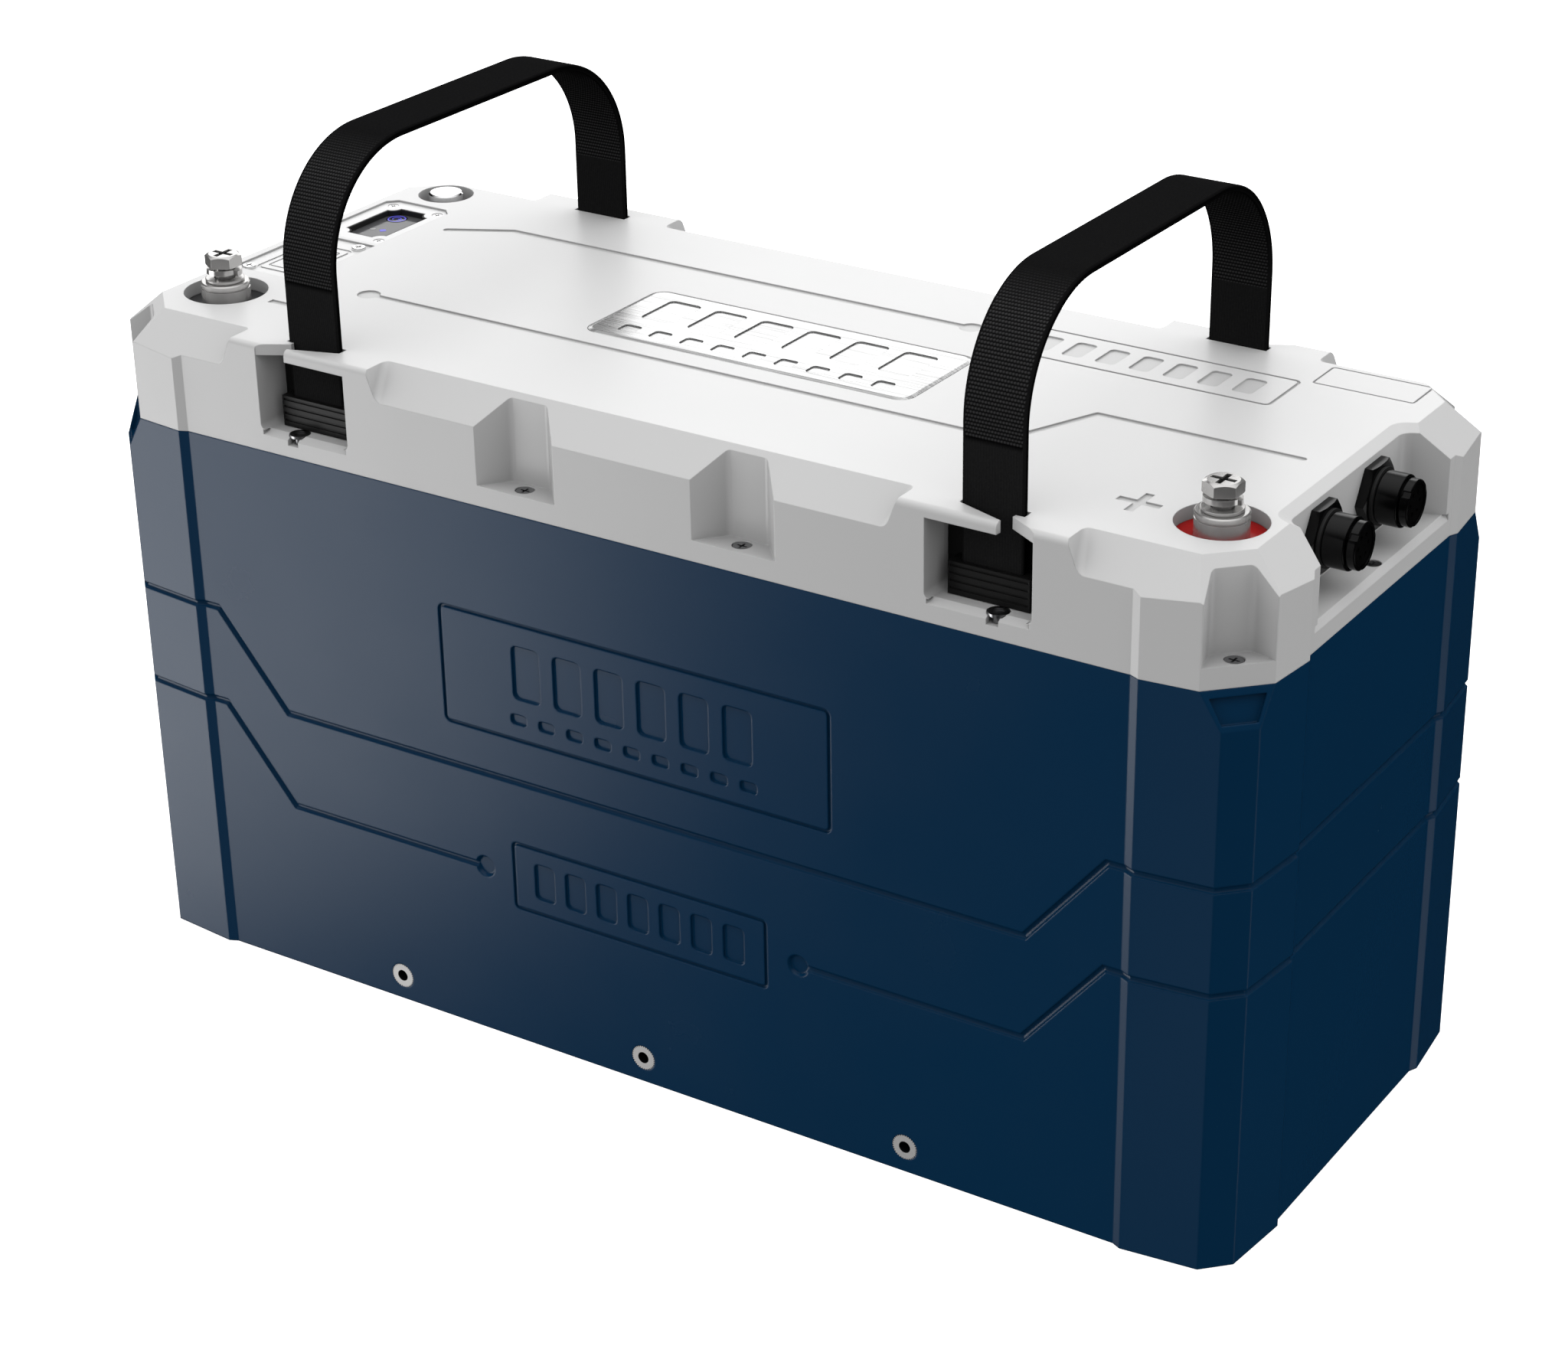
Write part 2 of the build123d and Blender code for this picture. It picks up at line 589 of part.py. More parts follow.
def cross_recess(width, length, depth):
    """Cross recess cut down from z = 0 at the current locations."""
    with BuildSketch(mode=Mode.PRIVATE) as cross:
        Rectangle(length, width)
        Rectangle(width, length)
    add(extrude(cross.sketch, amount=-depth, mode=Mode.PRIVATE), mode=Mode.SUBTRACT)


with BuildPart() as lid_screws:
    for x, y in lid_screw_at:
        seat, drop, head = screw_sizes(x, y)
        under = seat - drop
        thick = drop if in_bay(x) else drop - 0.3
        with BuildSketch(Plane.XY.offset(under)):
            with Locations((x, y)):
                Circle(head)
        extrude(amount=thick)
        with BuildSketch(Plane.XY.offset(flange_z - 12)):
            with Locations((x, y)):
                Circle(1.55)
        extrude(amount=under - flange_z + 12)
        if in_bay(x):
            with BuildSketch(Plane.XY.offset(scallop_floor)):
                with Locations((x, y)):
                    Circle(2.4)
            extrude(amount=under - scallop_floor)
            with BuildSketch(Plane.XY.offset(under + thick)):
                with Locations((x, y)):
                    Circle(2.2)
            extrude(amount=-0.8, mode=Mode.SUBTRACT)
        else:
            with Locations((x, y, under + thick)):
                cross_recess(0.9, 4.2, 1.1)
lid_screws.part.label = "lid_screws"
export_step(lid_screws.part, "parts/lid_screws.step")

with BuildPart() as top_badge:
    with BuildSketch(Plane.XY.offset(top_z - 0.8)):
        with Locations((-0.4, 0.6)):
            RectangleRounded(149.0, 53.0, 6.0)
    extrude(amount=1.2)
    chamfer(top_badge.faces().sort_by(Axis.Z)[-1].edges(), length=0.5, length2=1.6)
    with BuildSketch(Plane.XY.offset(top_z + 0.4)):
        with Locations((-0.4, 7.4)):
            bars(6, 22.0, (15.0, 23.0), 2.6)
        with Locations((-0.4, -16.2)):
            bars(9, 14.6, (8.0, 7.4), 1.8)
    extrude(amount=-0.5, mode=Mode.SUBTRACT)
top_badge.part.label = "top_badge"
export_step(top_badge.part, "parts/top_badge.step")

# ---------------------------------------------------------------- terminals
for name, side in (("positive", 1), ("negative", -1)):
    centre = (side * terminal_x, terminal_y)

    with BuildPart() as insulator:
        with BuildSketch(Plane.XY.offset(roof_under - 5)):
            with Locations(centre):
                Circle(18.6)
        extrude(amount=5)
        with BuildSketch(Plane.XY.offset(roof_under - 8)):
            with Locations(centre):
                Circle(13.0)
        extrude(amount=3)
        with BuildSketch(Plane.XY.offset(roof_under - 9)):
            with Locations(centre):
                Circle(post_radius + 0.05)
        extrude(amount=20, mode=Mode.SUBTRACT)
    insulator.part.label = name + "_insulator"
    export_step(insulator.part, f"parts/{name}_insulator.step")

    with BuildPart() as terminal_base:
        with BuildSketch(Plane.XZ.offset(-terminal_y)):
            with Locations((centre[0], 0)):
                Polygon((0, 262), (14.0, 262), (14.0, 266), (post_radius, 266), (post_radius, 281.2),
                        (post_radius - 0.4, 281.4), (post_radius - 0.4, 281.7), (post_radius, 281.9),
                        (post_radius, post_top - 0.5), (post_radius - 0.5, post_top), (0, post_top),
                        align=None)
        revolve(axis=Axis((centre[0], terminal_y, 0), (0, 0, 1)))
        with BuildSketch(Plane.XY.offset(264)):
            with Locations(centre):
                Circle(thread_radius)
        extrude(amount=30, mode=Mode.SUBTRACT)
    terminal_base.part.label = name + "_terminal_base"
    export_step(terminal_base.part, f"parts/{name}_terminal_base.step")

    with BuildPart() as flat_washer:
        with BuildSketch(Plane.XY.offset(post_top + 0.1)):
            with Locations(centre):
                Circle(7.8)
                Circle(4.3, mode=Mode.SUBTRACT)
        extrude(amount=1.2)
        fillet(flat_washer.edges().filter_by(GeomType.CIRCLE).group_by(SortBy.RADIUS)[-1], radius=0.3)
    flat_washer.part.label = name + "_flat_washer"
    export_step(flat_washer.part, f"parts/{name}_flat_washer.step")

    with BuildPart() as spring_washer:
        with BuildLine(Plane(origin=(centre[0], centre[1], 287.5), x_dir=(0.6, -0.8, 0))) as coil:
            Helix(pitch=1.25, height=1.19, radius=5.7)
        with BuildSketch(Plane(origin=coil.line @ 0, x_dir=(0.6, -0.8, 0), z_dir=coil.line % 0)):
            Rectangle(2.8, 2.0)
        sweep(is_frenet=True)
    spring_washer.part.label = name + "_spring_washer"
    export_step(spring_washer.part, f"parts/{name}_spring_washer.step")

    with BuildPart() as terminal_bolt:
        with BuildSketch(Plane.XY.offset(bolt_head_z[0])):
            with Locations(centre):
                RegularPolygon(hex_corner, 6, rotation=30)
        extrude(amount=bolt_head_z[1] - bolt_head_z[0])
        with BuildSketch(Plane.XZ.offset(-terminal_y)):
            with Locations((centre[0], 0)):
                Polygon((0, bolt_head_z[0]), (hex_corner - 0.5, bolt_head_z[0]),
                        (hex_corner, bolt_head_z[0] + 0.3), (hex_corner, bolt_head_z[1] - 0.95),
                        (hex_corner - 1.65, bolt_head_z[1]), (0, bolt_head_z[1]), align=None)
        revolve(axis=Axis((centre[0], terminal_y, 0), (0, 0, 1)), mode=Mode.INTERSECT)
        with BuildSketch(Plane.XY.offset(267)):
            with Locations(centre):
                Circle(thread_radius - 0.05)
        extrude(amount=bolt_head_z[0] - 267)
        with Locations((centre[0], centre[1], bolt_head_z[1])):
            cross_recess(2.1, 9.4, 2.2)
    terminal_bolt.part.label = name + "_terminal_bolt"
    export_step(terminal_bolt.part, f"parts/{name}_terminal_bolt.step")

# ---------------------------------------------------------------- vent
with BuildPart() as vent_valve:
    with BuildSketch(Plane.XZ.offset(-vent_at[1])):
        with Locations((vent_at[0], 0)):
            Polygon((0, 262.0), (4.9, 262.0), (4.9, 274.2), (7.5, 274.2), (7.5, 279.9), (6.8, 280.6),
                    (0, 280.6), align=None)
    revolve(axis=Axis((vent_at[0], vent_at[1], 0), (0, 0, 1)))
vent_valve.part.label = "vent_valve"
export_step(vent_valve.part, "parts/vent_valve.step")

with BuildPart() as vent_seal:
    with BuildSketch(Plane.XY.offset(273.0)):
        with Locations(vent_at):
            Circle(6.8)
            Circle(4.95, mode=Mode.SUBTRACT)
    extrude(amount=1.2)
vent_seal.part.label = "vent_seal"
export_step(vent_seal.part, "parts/vent_seal.step")

# ---------------------------------------------------------------- display and service cover
plate_mid = (plate_x[0] + plate_x[1]) / 2
plate_top = top_z - plate_sink
bezel_screw_at = [(-236.4, 57.2), (-212.4, 57.2), (-236.4, 17.8), (-212.4, 17.8)]


def window_outline(inset):
    """Outline of the display's window with its scooped corners, moved inwards by inset."""
    with Locations(window_mid):
        Rectangle(window_size[0] - 2 * inset, window_size[1] - 2 * inset)
        with GridLocations(window_size[0], window_size[1], 2, 2):
            Circle(window_corner + inset, mode=Mode.SUBTRACT)


with BuildPart() as display_bezel:
    with BuildSketch(Plane.XY.offset(plate_top - plate_thickness)) as bezel_plan:
        with Locations((plate_mid, sum(bezel_y) / 2)):
            Rectangle(plate_x[1] - plate_x[0], bezel_y[1] - bezel_y[0])
        chamfer(bezel_plan.vertices().sort_by(Axis.Y)[-2:], length=bezel_cut)
    extrude(amount=plate_thickness)
    with BuildSketch(Plane.XY.offset(plate_top)):
        window_outline(0.0)
    extrude(amount=-5, mode=Mode.SUBTRACT)
    with BuildSketch(Plane.XY.offset(plate_top)):
        with Locations(*bezel_screw_at):
            Circle(2.3)
    extrude(amount=-1.1, mode=Mode.SUBTRACT)
display_bezel.part.label = "display_bezel"
export_step(display_bezel.part, "parts/display_bezel.step")

with BuildPart() as bezel_screws:
    with BuildSketch(Plane.XY.offset(plate_top - 1.1)):
        with Locations(*bezel_screw_at):
            Circle(2.1)
    extrude(amount=0.9)
    with Locations(*[(x, y, plate_top - 0.2) for x, y in bezel_screw_at]):
        cross_recess(0.6, 2.6, 0.5)
bezel_screws.part.label = "bezel_screws"
export_step(bezel_screws.part, "parts/bezel_screws.step")

with BuildPart() as display_window:
    with BuildSketch(Plane.XY.offset(glass_z - 1.0)):
        window_outline(0.1)
        with Locations(button_at):
            Circle(button_radius + 0.35, mode=Mode.SUBTRACT)
    extrude(amount=1.0)
display_window.part.label = "display_window"
export_step(display_window.part, "parts/display_window.step")

with BuildPart() as window_seal:
    for inset, mode in ((0.05, Mode.ADD), (0.75, Mode.SUBTRACT)):
        with BuildSketch(Plane.XY.offset(glass_z)):
            window_outline(inset)
        extrude(amount=plate_top - 0.2 - glass_z, mode=mode)
window_seal.part.label = "window_seal"
export_step(window_seal.part, "parts/window_seal.step")

with BuildPart() as display_board:
    with BuildSketch(Plane.XY.offset(269.6)):
        with Locations(window_mid):
            Rectangle(23.0, 38.0)
    extrude(amount=1.6)
    with BuildSketch(Plane.XY.offset(271.2)):
        with Locations((window_mid[0], window_mid[1] - 8.5)):
            Rectangle(19.0, 16.0)
    extrude(amount=glass_z - 1.0 - 271.2)
display_board.part.label = "display_board"
export_step(display_board.part, "parts/display_board.step")

with BuildPart() as power_button:
    with BuildSketch(Plane.XY.offset(273.4)):
        with Locations(button_at):
            Circle(button_radius)
    extrude(amount=glass_z + 0.1 - 273.4)
power_button.part.label = "power_button"
export_step(power_button.part, "parts/power_button.step")

service_screw_at = [(-212.6, 5.0), (-236.7, -36.0)]
with BuildPart() as service_cover:
    with BuildSketch(Plane.XY.offset(plate_top - plate_thickness)):
        with Locations((plate_mid, sum(cover_y) / 2)):
            Rectangle(plate_x[1] - plate_x[0], cover_y[1] - cover_y[0])
    extrude(amount=plate_thickness)
    with BuildSketch(Plane.XY.offset(plate_top)):
        with Locations((plate_mid + 1.0, -16.6)):
            frame_ring((23.6, 35.8), 3.2, 1.5)
            frame_ring((17.0, 27.0), 1.6, 0.9)
    extrude(amount=-cover_groove_depth, mode=Mode.SUBTRACT)
    with BuildSketch(Plane.XY.offset(plate_top)):
        with Locations(*service_screw_at):
            Circle(1.4)
    extrude(amount=-5, mode=Mode.SUBTRACT)
service_cover.part.label = "service_cover"
export_step(service_cover.part, "parts/service_cover.step")

with BuildPart() as service_screws:
    with BuildSketch(Plane.XY.offset(plate_top)):
        with Locations(*service_screw_at):
            Circle(2.9)
    extrude(amount=1.0)
    fillet(service_screws.faces().group_by(Axis.Z)[-1].edges(), radius=0.3)
    with BuildSketch(Plane.XY.offset(plate_top)):
        with Locations(*service_screw_at):
            Circle(1.35)
    extrude(amount=-(plate_thickness - 0.1))
    with Locations(*[(x, y, plate_top + 1.0) for x, y in service_screw_at]):
        cross_recess(0.7, 3.6, 0.6)
service_screws.part.label = "service_screws"
export_step(service_screws.part, "parts/service_screws.step")


# ---------------------------------------------------------------- connectors
def across(x, y=0.0):
    """Plane facing +X at a connector's axis: local x is +Y, local y is +Z."""
    return Plane(origin=(x, y, connector_z), x_dir=(0, 1, 0), z_dir=(1, 0, 0))


connector_at = (("front", -connector_y), ("rear", connector_y))
for name, y in connector_at:
    with BuildPart() as connector_shell:
        with BuildSketch(across(recess_wall_x - 6.6, y)):
            Circle(11.0)
        extrude(amount=3.0)
        with BuildSketch(across(recess_wall_x - 12, y)):
            Circle(core_radius)
        extrude(amount=12 + barrel_start)
        with BuildSketch(across(recess_wall_x + barrel_start, y)):
            Circle(barrel_radius)
        extrude(amount=half_length - recess_wall_x - barrel_start)
        chamfer(connector_shell.faces().sort_by(Axis.X)[-1].edges(), length=0.4)
        with BuildSketch(across(half_length, y)):
            Circle(7.5)
        extrude(amount=-1.6, mode=Mode.SUBTRACT)
        with BuildSketch(across(half_length, y)):
            with PolarLocations(barrel_radius, 3, start_angle=20):
                Rectangle(1.2, 2.4)
        extrude(amount=-3.0, mode=Mode.SUBTRACT)
    connector_shell.part.label = name + "_connector_shell"
    export_step(connector_shell.part, f"parts/{name}_connector_shell.step")

    with BuildPart() as connector_sleeve:
        with BuildSketch(across(recess_wall_x + sleeve_x[0], y)):
            Circle(sleeve_radius)
            Circle(core_radius + 0.08, mode=Mode.SUBTRACT)
        extrude(amount=sleeve_x[1] - sleeve_x[0])
        fillet(connector_sleeve.edges().filter_by(GeomType.CIRCLE).group_by(SortBy.RADIUS)[-1],
               radius=0.5)
    connector_sleeve.part.label = name + "_connector_sleeve"
    export_step(connector_sleeve.part, f"parts/{name}_connector_sleeve.step")

with BuildPart() as turned_blanks:
    for name, y in connector_at:
        with BuildSketch(across(recess_wall_x, y)):
            Circle(nut_corner)
        extrude(amount=4.0)
    chamfer(turned_blanks.faces().group_by(Axis.X)[-1].edges(), length=0.75, length2=1.7)

with BuildPart() as connector_nuts:
    for name, y in connector_at:
        with BuildSketch(across(recess_wall_x, y)):
            RegularPolygon(nut_corner, 6)
        extrude(amount=4.0)
    add(turned_blanks.part, mode=Mode.INTERSECT)
    for name, y in connector_at:
        with BuildSketch(across(recess_wall_x, y)):
            Circle(core_radius + 0.02)
        extrude(amount=4.0, mode=Mode.SUBTRACT)
connector_nuts.part.label = "connector_nuts"
export_step(connector_nuts.part, "parts/connector_nuts.step")

with BuildPart() as connector_seals:
    for name, y in connector_at:
        with BuildSketch(across(recess_wall_x + 4.0, y)):
            Circle(10.9)
            Circle(core_radius + 0.02, mode=Mode.SUBTRACT)
        extrude(amount=1.2)
connector_seals.part.label = "connector_seals"
export_step(connector_seals.part, "parts/connector_seals.step")

with BuildPart() as connector_inserts:
    for name, y in connector_at:
        with BuildSketch(across(half_length - 1.6, y)):
            Circle(7.45)
            with PolarLocations(4.2, 6):
                Circle(0.9, mode=Mode.SUBTRACT)
        extrude(amount=0.9)
connector_inserts.part.label = "connector_inserts"
export_step(connector_inserts.part, "parts/connector_inserts.step")

# ---------------------------------------------------------------- carry straps
anchor_low = bay_floor + anchor_lift
for name, side in (("left", -1), ("right", 1)):
    with BuildPart() as strap:
        with BuildSketch(Plane.YZ.offset(side * strap_x - strap_width / 2)) as arch:
            with BuildLine():
                reach_z = strap_top - strap_corner
                foot = anchor_low + 4.0
                Line((-strap_leg, foot), (-strap_leg, reach_z))
                RadiusArc((-strap_leg, reach_z), (-strap_leg + strap_corner, strap_top), strap_corner)
                Line((-strap_leg + strap_corner, strap_top), (strap_leg - strap_corner, strap_top))
                RadiusArc((strap_leg - strap_corner, strap_top), (strap_leg, reach_z), strap_corner)
                Line((strap_leg, reach_z), (strap_leg, foot))
                inner = strap_leg - strap_thickness
                bend = strap_corner - strap_thickness
                low = strap_top - strap_thickness
                Line((strap_leg, foot), (inner, foot))
                Line((inner, foot), (inner, reach_z))
                RadiusArc((inner, reach_z), (inner - bend, low), -bend)
                Line((inner - bend, low), (-inner + bend, low))
                RadiusArc((-inner + bend, low), (-inner, reach_z), -bend)
                Line((-inner, reach_z), (-inner, foot))
                Line((-inner, foot), (-strap_leg, foot))
            make_face()
        extrude(amount=strap_width)
    strap.part.label = name + "_strap"
    export_step(strap.part, f"parts/{name}_strap.step")

    with BuildPart() as anchors:
        for end in SIDES:
            with Locations((side * bay_mid, end * anchor_y, anchor_low + anchor_size[2] / 2)):
                Box(*anchor_size)
            ribs = [anchor_low + 2.4 + 2.9 * k for k in range(4)]
            front = end * (anchor_y + anchor_size[1] / 2)
            with BuildSketch(Plane.YZ.offset(side * bay_mid)):
                with Locations(*[(front, z) for z in ribs]):
                    Rectangle(1.0, 0.9)
            extrude(amount=anchor_size[0] / 2 - 0.8, both=True, mode=Mode.SUBTRACT)
            leg_mid = end * (strap_leg - strap_thickness / 2)
            with BuildSketch(Plane.XY.offset(anchor_low + 4.0)):
                with Locations((side * strap_x, leg_mid)):
                    Rectangle(strap_width, strap_thickness)
            extrude(amount=20, mode=Mode.SUBTRACT)
    anchors.part.label = name + "_strap_anchors"
    export_step(anchors.part, f"parts/{name}_strap_anchors.step")

with BuildPart() as bay_liners:
    for sy in SIDES:
        with BuildSketch(side_plane(sy).offset(bay_back - liner_thickness - panel_y)) as backs:
            with Locations(*[(-sx * bay_mid, (bay_floor + bay_roof) / 2) for sx in SIDES]):
                Rectangle(bay_x[1] - bay_x[0], bay_roof - bay_floor)
            fillet(backs.vertices().group_by(Axis.Y)[0], radius=2.5)
        extrude(amount=liner_thickness)
bay_liners.part.label = "bay_liners"
export_step(bay_liners.part, "parts/bay_liners.step")

# ---------------------------------------------------------------- cell pack
cell_x = [(k - (cell_count - 1) / 2) * cell_pitch for k in range(cell_count)]
cell_top = cell_base + cell_size[2]
stud_top = cell_top + 3.0
for number, x in enumerate(cell_x, start=1):
    with BuildPart() as cell:
        with BuildSketch(Plane.XY.offset(cell_base)):
            with Locations((x, 0)):
                RectangleRounded(cell_size[0], cell_size[1], 3.0)
        extrude(amount=cell_size[2])
        with BuildSketch(Plane.XY.offset(cell_top)):
            with Locations((x, -post_y), (x, post_y)):
                Circle(9)
        extrude(amount=3.0)
        with BuildSketch(Plane.XY.offset(cell_top)):
            with Locations((x, 0)):
                SlotOverall(24, 14, rotation=90)
        extrude(amount=-0.8, mode=Mode.SUBTRACT)
    cell.part.label = f"cell_{number}"
    export_step(cell.part, f"parts/cell_{number}.step")

with BuildPart() as cell_separators:
    for left, right in zip(cell_x, cell_x[1:]):
        with Locations(((left + right) / 2, 0, cell_base + 100)):
            Box(cell_pitch - cell_size[0], cell_size[1] - 8, 196)
cell_separators.part.label = "cell_separators"
export_step(cell_separators.part, "parts/cell_separators.step")

pack_half = cell_x[-1] + cell_size[0] / 2
with BuildPart() as end_plates:
    for side in SIDES:
        with Locations((side * (pack_half + 2.5), 0, cell_base + 96)):
            Box(5, cell_size[1], 192)
end_plates.part.label = "end_plates"
export_step(end_plates.part, "parts/end_plates.step")

with BuildPart() as compression_bands:
    for height in (60.0, 150.0):
        with BuildSketch(Plane.XY.offset(height)):
            Rectangle(2 * pack_half + 12, cell_size[1] + 2)
            Rectangle(2 * pack_half + 10, cell_size[1], mode=Mode.SUBTRACT)
        extrude(amount=16)
compression_bands.part.label = "compression_bands"
export_step(compression_bands.part, "parts/compression_bands.step")

busbar_spans = [(0, 1, -1), (2, 5, -1), (6, 7, -1), (0, 3, 1), (4, 7, 1)]
with BuildPart() as cell_busbars:
    for first, last, side in busbar_spans:
        middle = (cell_x[first] + cell_x[last]) / 2
        with BuildSketch(Plane.XY.offset(stud_top)):
            with Locations((middle, side * post_y)):
                RectangleRounded(cell_x[last] - cell_x[first] + 26, 24, 4)
        extrude(amount=2.5)
cell_busbars.part.label = "cell_busbars"
export_step(cell_busbars.part, "parts/cell_busbars.step")

with BuildPart() as cell_nuts:
    with BuildSketch(Plane.XY.offset(stud_top + 2.5)):
        with Locations(*[(x, side * post_y) for x in cell_x for side in SIDES]):
            RegularPolygon(5.77, 6)
    extrude(amount=5)
cell_nuts.part.label = "cell_nuts"
export_step(cell_nuts.part, "parts/cell_nuts.step")

with BuildPart() as sense_flex:
    with BuildSketch(Plane.XY.offset(cell_top + 0.05)):
        with Locations((0, 26)):
            Rectangle(400, 12)
        with Locations(*[(x, 37) for x in cell_x]):
            Rectangle(4, 16)
    extrude(amount=0.6)
sense_flex.part.label = "sense_flex"
export_step(sense_flex.part, "parts/sense_flex.step")

with BuildPart() as base_pad:
    with BuildSketch(Plane.XY.offset(floor)):
        Rectangle(448, 172)
    extrude(amount=cell_base - floor)
base_pad.part.label = "base_pad"
export_step(base_pad.part, "parts/base_pad.step")

with BuildPart() as side_pads:
    for side in SIDES:
        with Locations((0, side * 93.0, 112)):
            Box(430, 9.4, 160)
side_pads.part.label = "side_pads"
export_step(side_pads.part, "parts/side_pads.step")

# ---------------------------------------------------------------- battery management and leads
tray_z = 224.0
with BuildPart() as bms_tray:
    with BuildSketch(Plane.XY.offset(tray_z)):
        RectangleRounded(300, 124, 5)
    extrude(amount=3)
    with BuildSketch(Plane.XY.offset(cell_top)):
        with Locations(*[(x, y) for x in (-110, 0, 110) for y in (-14, 8)]):
            Circle(4)
    extrude(amount=tray_z - cell_top)
bms_tray.part.label = "bms_tray"
export_step(bms_tray.part, "parts/bms_tray.step")

with BuildPart() as bms_board:
    with BuildSketch(Plane.XY.offset(tray_z + 3)):
        Rectangle(286, 110)
    extrude(amount=2)
    with BuildSketch(Plane.XY.offset(tray_z + 5)):
        with GridLocations(30, 86, 8, 2):
            Rectangle(12, 10)
    extrude(amount=5)
bms_board.part.label = "bms_board"
export_step(bms_board.part, "parts/bms_board.step")

with BuildPart() as bms_heatsink:
    with BuildSketch(Plane.XY.offset(tray_z + 5)):
        Rectangle(240, 70)
    extrude(amount=5)
    with BuildSketch(Plane.XY.offset(tray_z + 10)):
        with GridLocations(1, 7, 1, 10):
            Rectangle(240, 2)
    extrude(amount=12)
bms_heatsink.part.label = "bms_heatsink"
export_step(bms_heatsink.part, "parts/bms_heatsink.step")

lead_thickness = 3.0
riser_x = 236.0
lead_ends = (("positive", 1, stud_top, cell_x[-1] + 13.0), ("negative", -1, tray_z + 5, 130.0))
for name, side, bottom, inner_x in lead_ends:
    with BuildPart() as lead:
        with BuildSketch(Plane.XZ.offset(-terminal_y - 8)):
            inside = riser_x - lead_thickness
            outline = [(inner_x, bottom), (riser_x, bottom), (riser_x, 262), (216, 262), (216, 259),
                       (inside, 259), (inside, bottom + lead_thickness),
                       (inner_x, bottom + lead_thickness)]
            Polygon(*[(side * x, z) for x, z in outline], align=None)
        extrude(amount=8, both=True)
    lead.part.label = name + "_lead"
    export_step(lead.part, f"parts/{name}_lead.step")
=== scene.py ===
"""Looks of the deep cycle battery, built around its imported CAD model."""

import json
import math

import bmesh
import bpy
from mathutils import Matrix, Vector


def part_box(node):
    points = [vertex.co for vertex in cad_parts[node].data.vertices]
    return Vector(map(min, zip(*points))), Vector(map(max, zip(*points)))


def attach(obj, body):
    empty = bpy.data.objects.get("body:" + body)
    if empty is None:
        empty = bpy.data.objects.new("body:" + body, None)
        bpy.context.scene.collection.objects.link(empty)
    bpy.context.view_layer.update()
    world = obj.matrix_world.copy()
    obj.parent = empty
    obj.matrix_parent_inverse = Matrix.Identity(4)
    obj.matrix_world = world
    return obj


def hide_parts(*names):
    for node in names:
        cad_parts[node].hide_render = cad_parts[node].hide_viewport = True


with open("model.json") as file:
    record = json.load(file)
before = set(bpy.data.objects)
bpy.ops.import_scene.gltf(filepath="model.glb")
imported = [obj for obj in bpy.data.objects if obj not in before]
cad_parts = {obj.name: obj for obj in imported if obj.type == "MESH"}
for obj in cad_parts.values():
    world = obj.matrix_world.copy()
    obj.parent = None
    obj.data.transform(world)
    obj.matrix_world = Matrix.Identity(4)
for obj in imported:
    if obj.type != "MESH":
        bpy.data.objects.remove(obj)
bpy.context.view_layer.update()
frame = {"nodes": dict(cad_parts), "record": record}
nodes = frame["nodes"]
MM = 0.001

# ---------------------------------------------------------------- camera
LENS = 79.43                   # focal length and sensor width in millimetres
SENSOR = 36.0
AZIMUTH = math.radians(31.37)
ELEVATION = math.radians(26.27)
DISTANCE = 1.25136             # from the target, in metres
TARGET = Vector((0.11572, -0.09348, 0.19984))
SHIFT = (-0.0786, 0.0097)


def make_camera():
    """Camera at the product picture's angle, looking down at the front right corner."""
    data = bpy.data.cameras.new("camera")
    data.lens = LENS
    data.sensor_width = SENSOR
    data.shift_x, data.shift_y = SHIFT
    data.clip_start = 0.01
    camera = bpy.data.objects.new("camera", data)
    bpy.context.scene.collection.objects.link(camera)
    across = math.cos(ELEVATION)
    offset = Vector((math.sin(AZIMUTH) * across, -math.cos(AZIMUTH) * across, math.sin(ELEVATION)))
    camera.location = TARGET + DISTANCE * offset
    camera.rotation_euler = (-offset).to_track_quat("-Z", "Y").to_euler()
    bpy.context.scene.camera = camera


# ---------------------------------------------------------------- material helpers
def new_material(name):
    """New node material, with its node tree and its shader."""
    mat = bpy.data.materials.new(name)
    mat.use_nodes = True
    tree = mat.node_tree
    shader = tree.nodes["Principled BSDF"]
    return mat, tree, shader


def place(tree, kind, **values):
    """Adds a node and sets its plain attributes."""
    node = tree.nodes.new(kind)
    for key, value in values.items():
        setattr(node, key, value)
    return node


def feed(tree, value, socket):
    """Joins an output to a socket, or sets the socket to a plain value."""
    if isinstance(value, bpy.types.NodeSocket):
        tree.links.new(value, socket)
    else:
        socket.default_value = value


def maths(tree, operation, *values):
    """Output of a maths node on outputs or plain numbers."""
    node = place(tree, "ShaderNodeMath", operation=operation)
    for value, socket in zip(values, node.inputs):
        feed(tree, value, socket)
    return node.outputs["Value"]


def component(tree, vector, axis):
    """One component of a vector output."""
    node = place(tree, "ShaderNodeSeparateXYZ")
    tree.links.new(vector, node.inputs["Vector"])
    return node.outputs[axis]


def mix(tree, kind, factor, first, second):
    """Blend of two outputs or plain values, by a factor."""
    node = place(tree, "ShaderNodeMix", data_type=kind)
    for value, name in ((factor, "Factor"), (first, "A"), (second, "B")):
        feed(tree, value, node.inputs[name])
    return node.outputs["Result"]


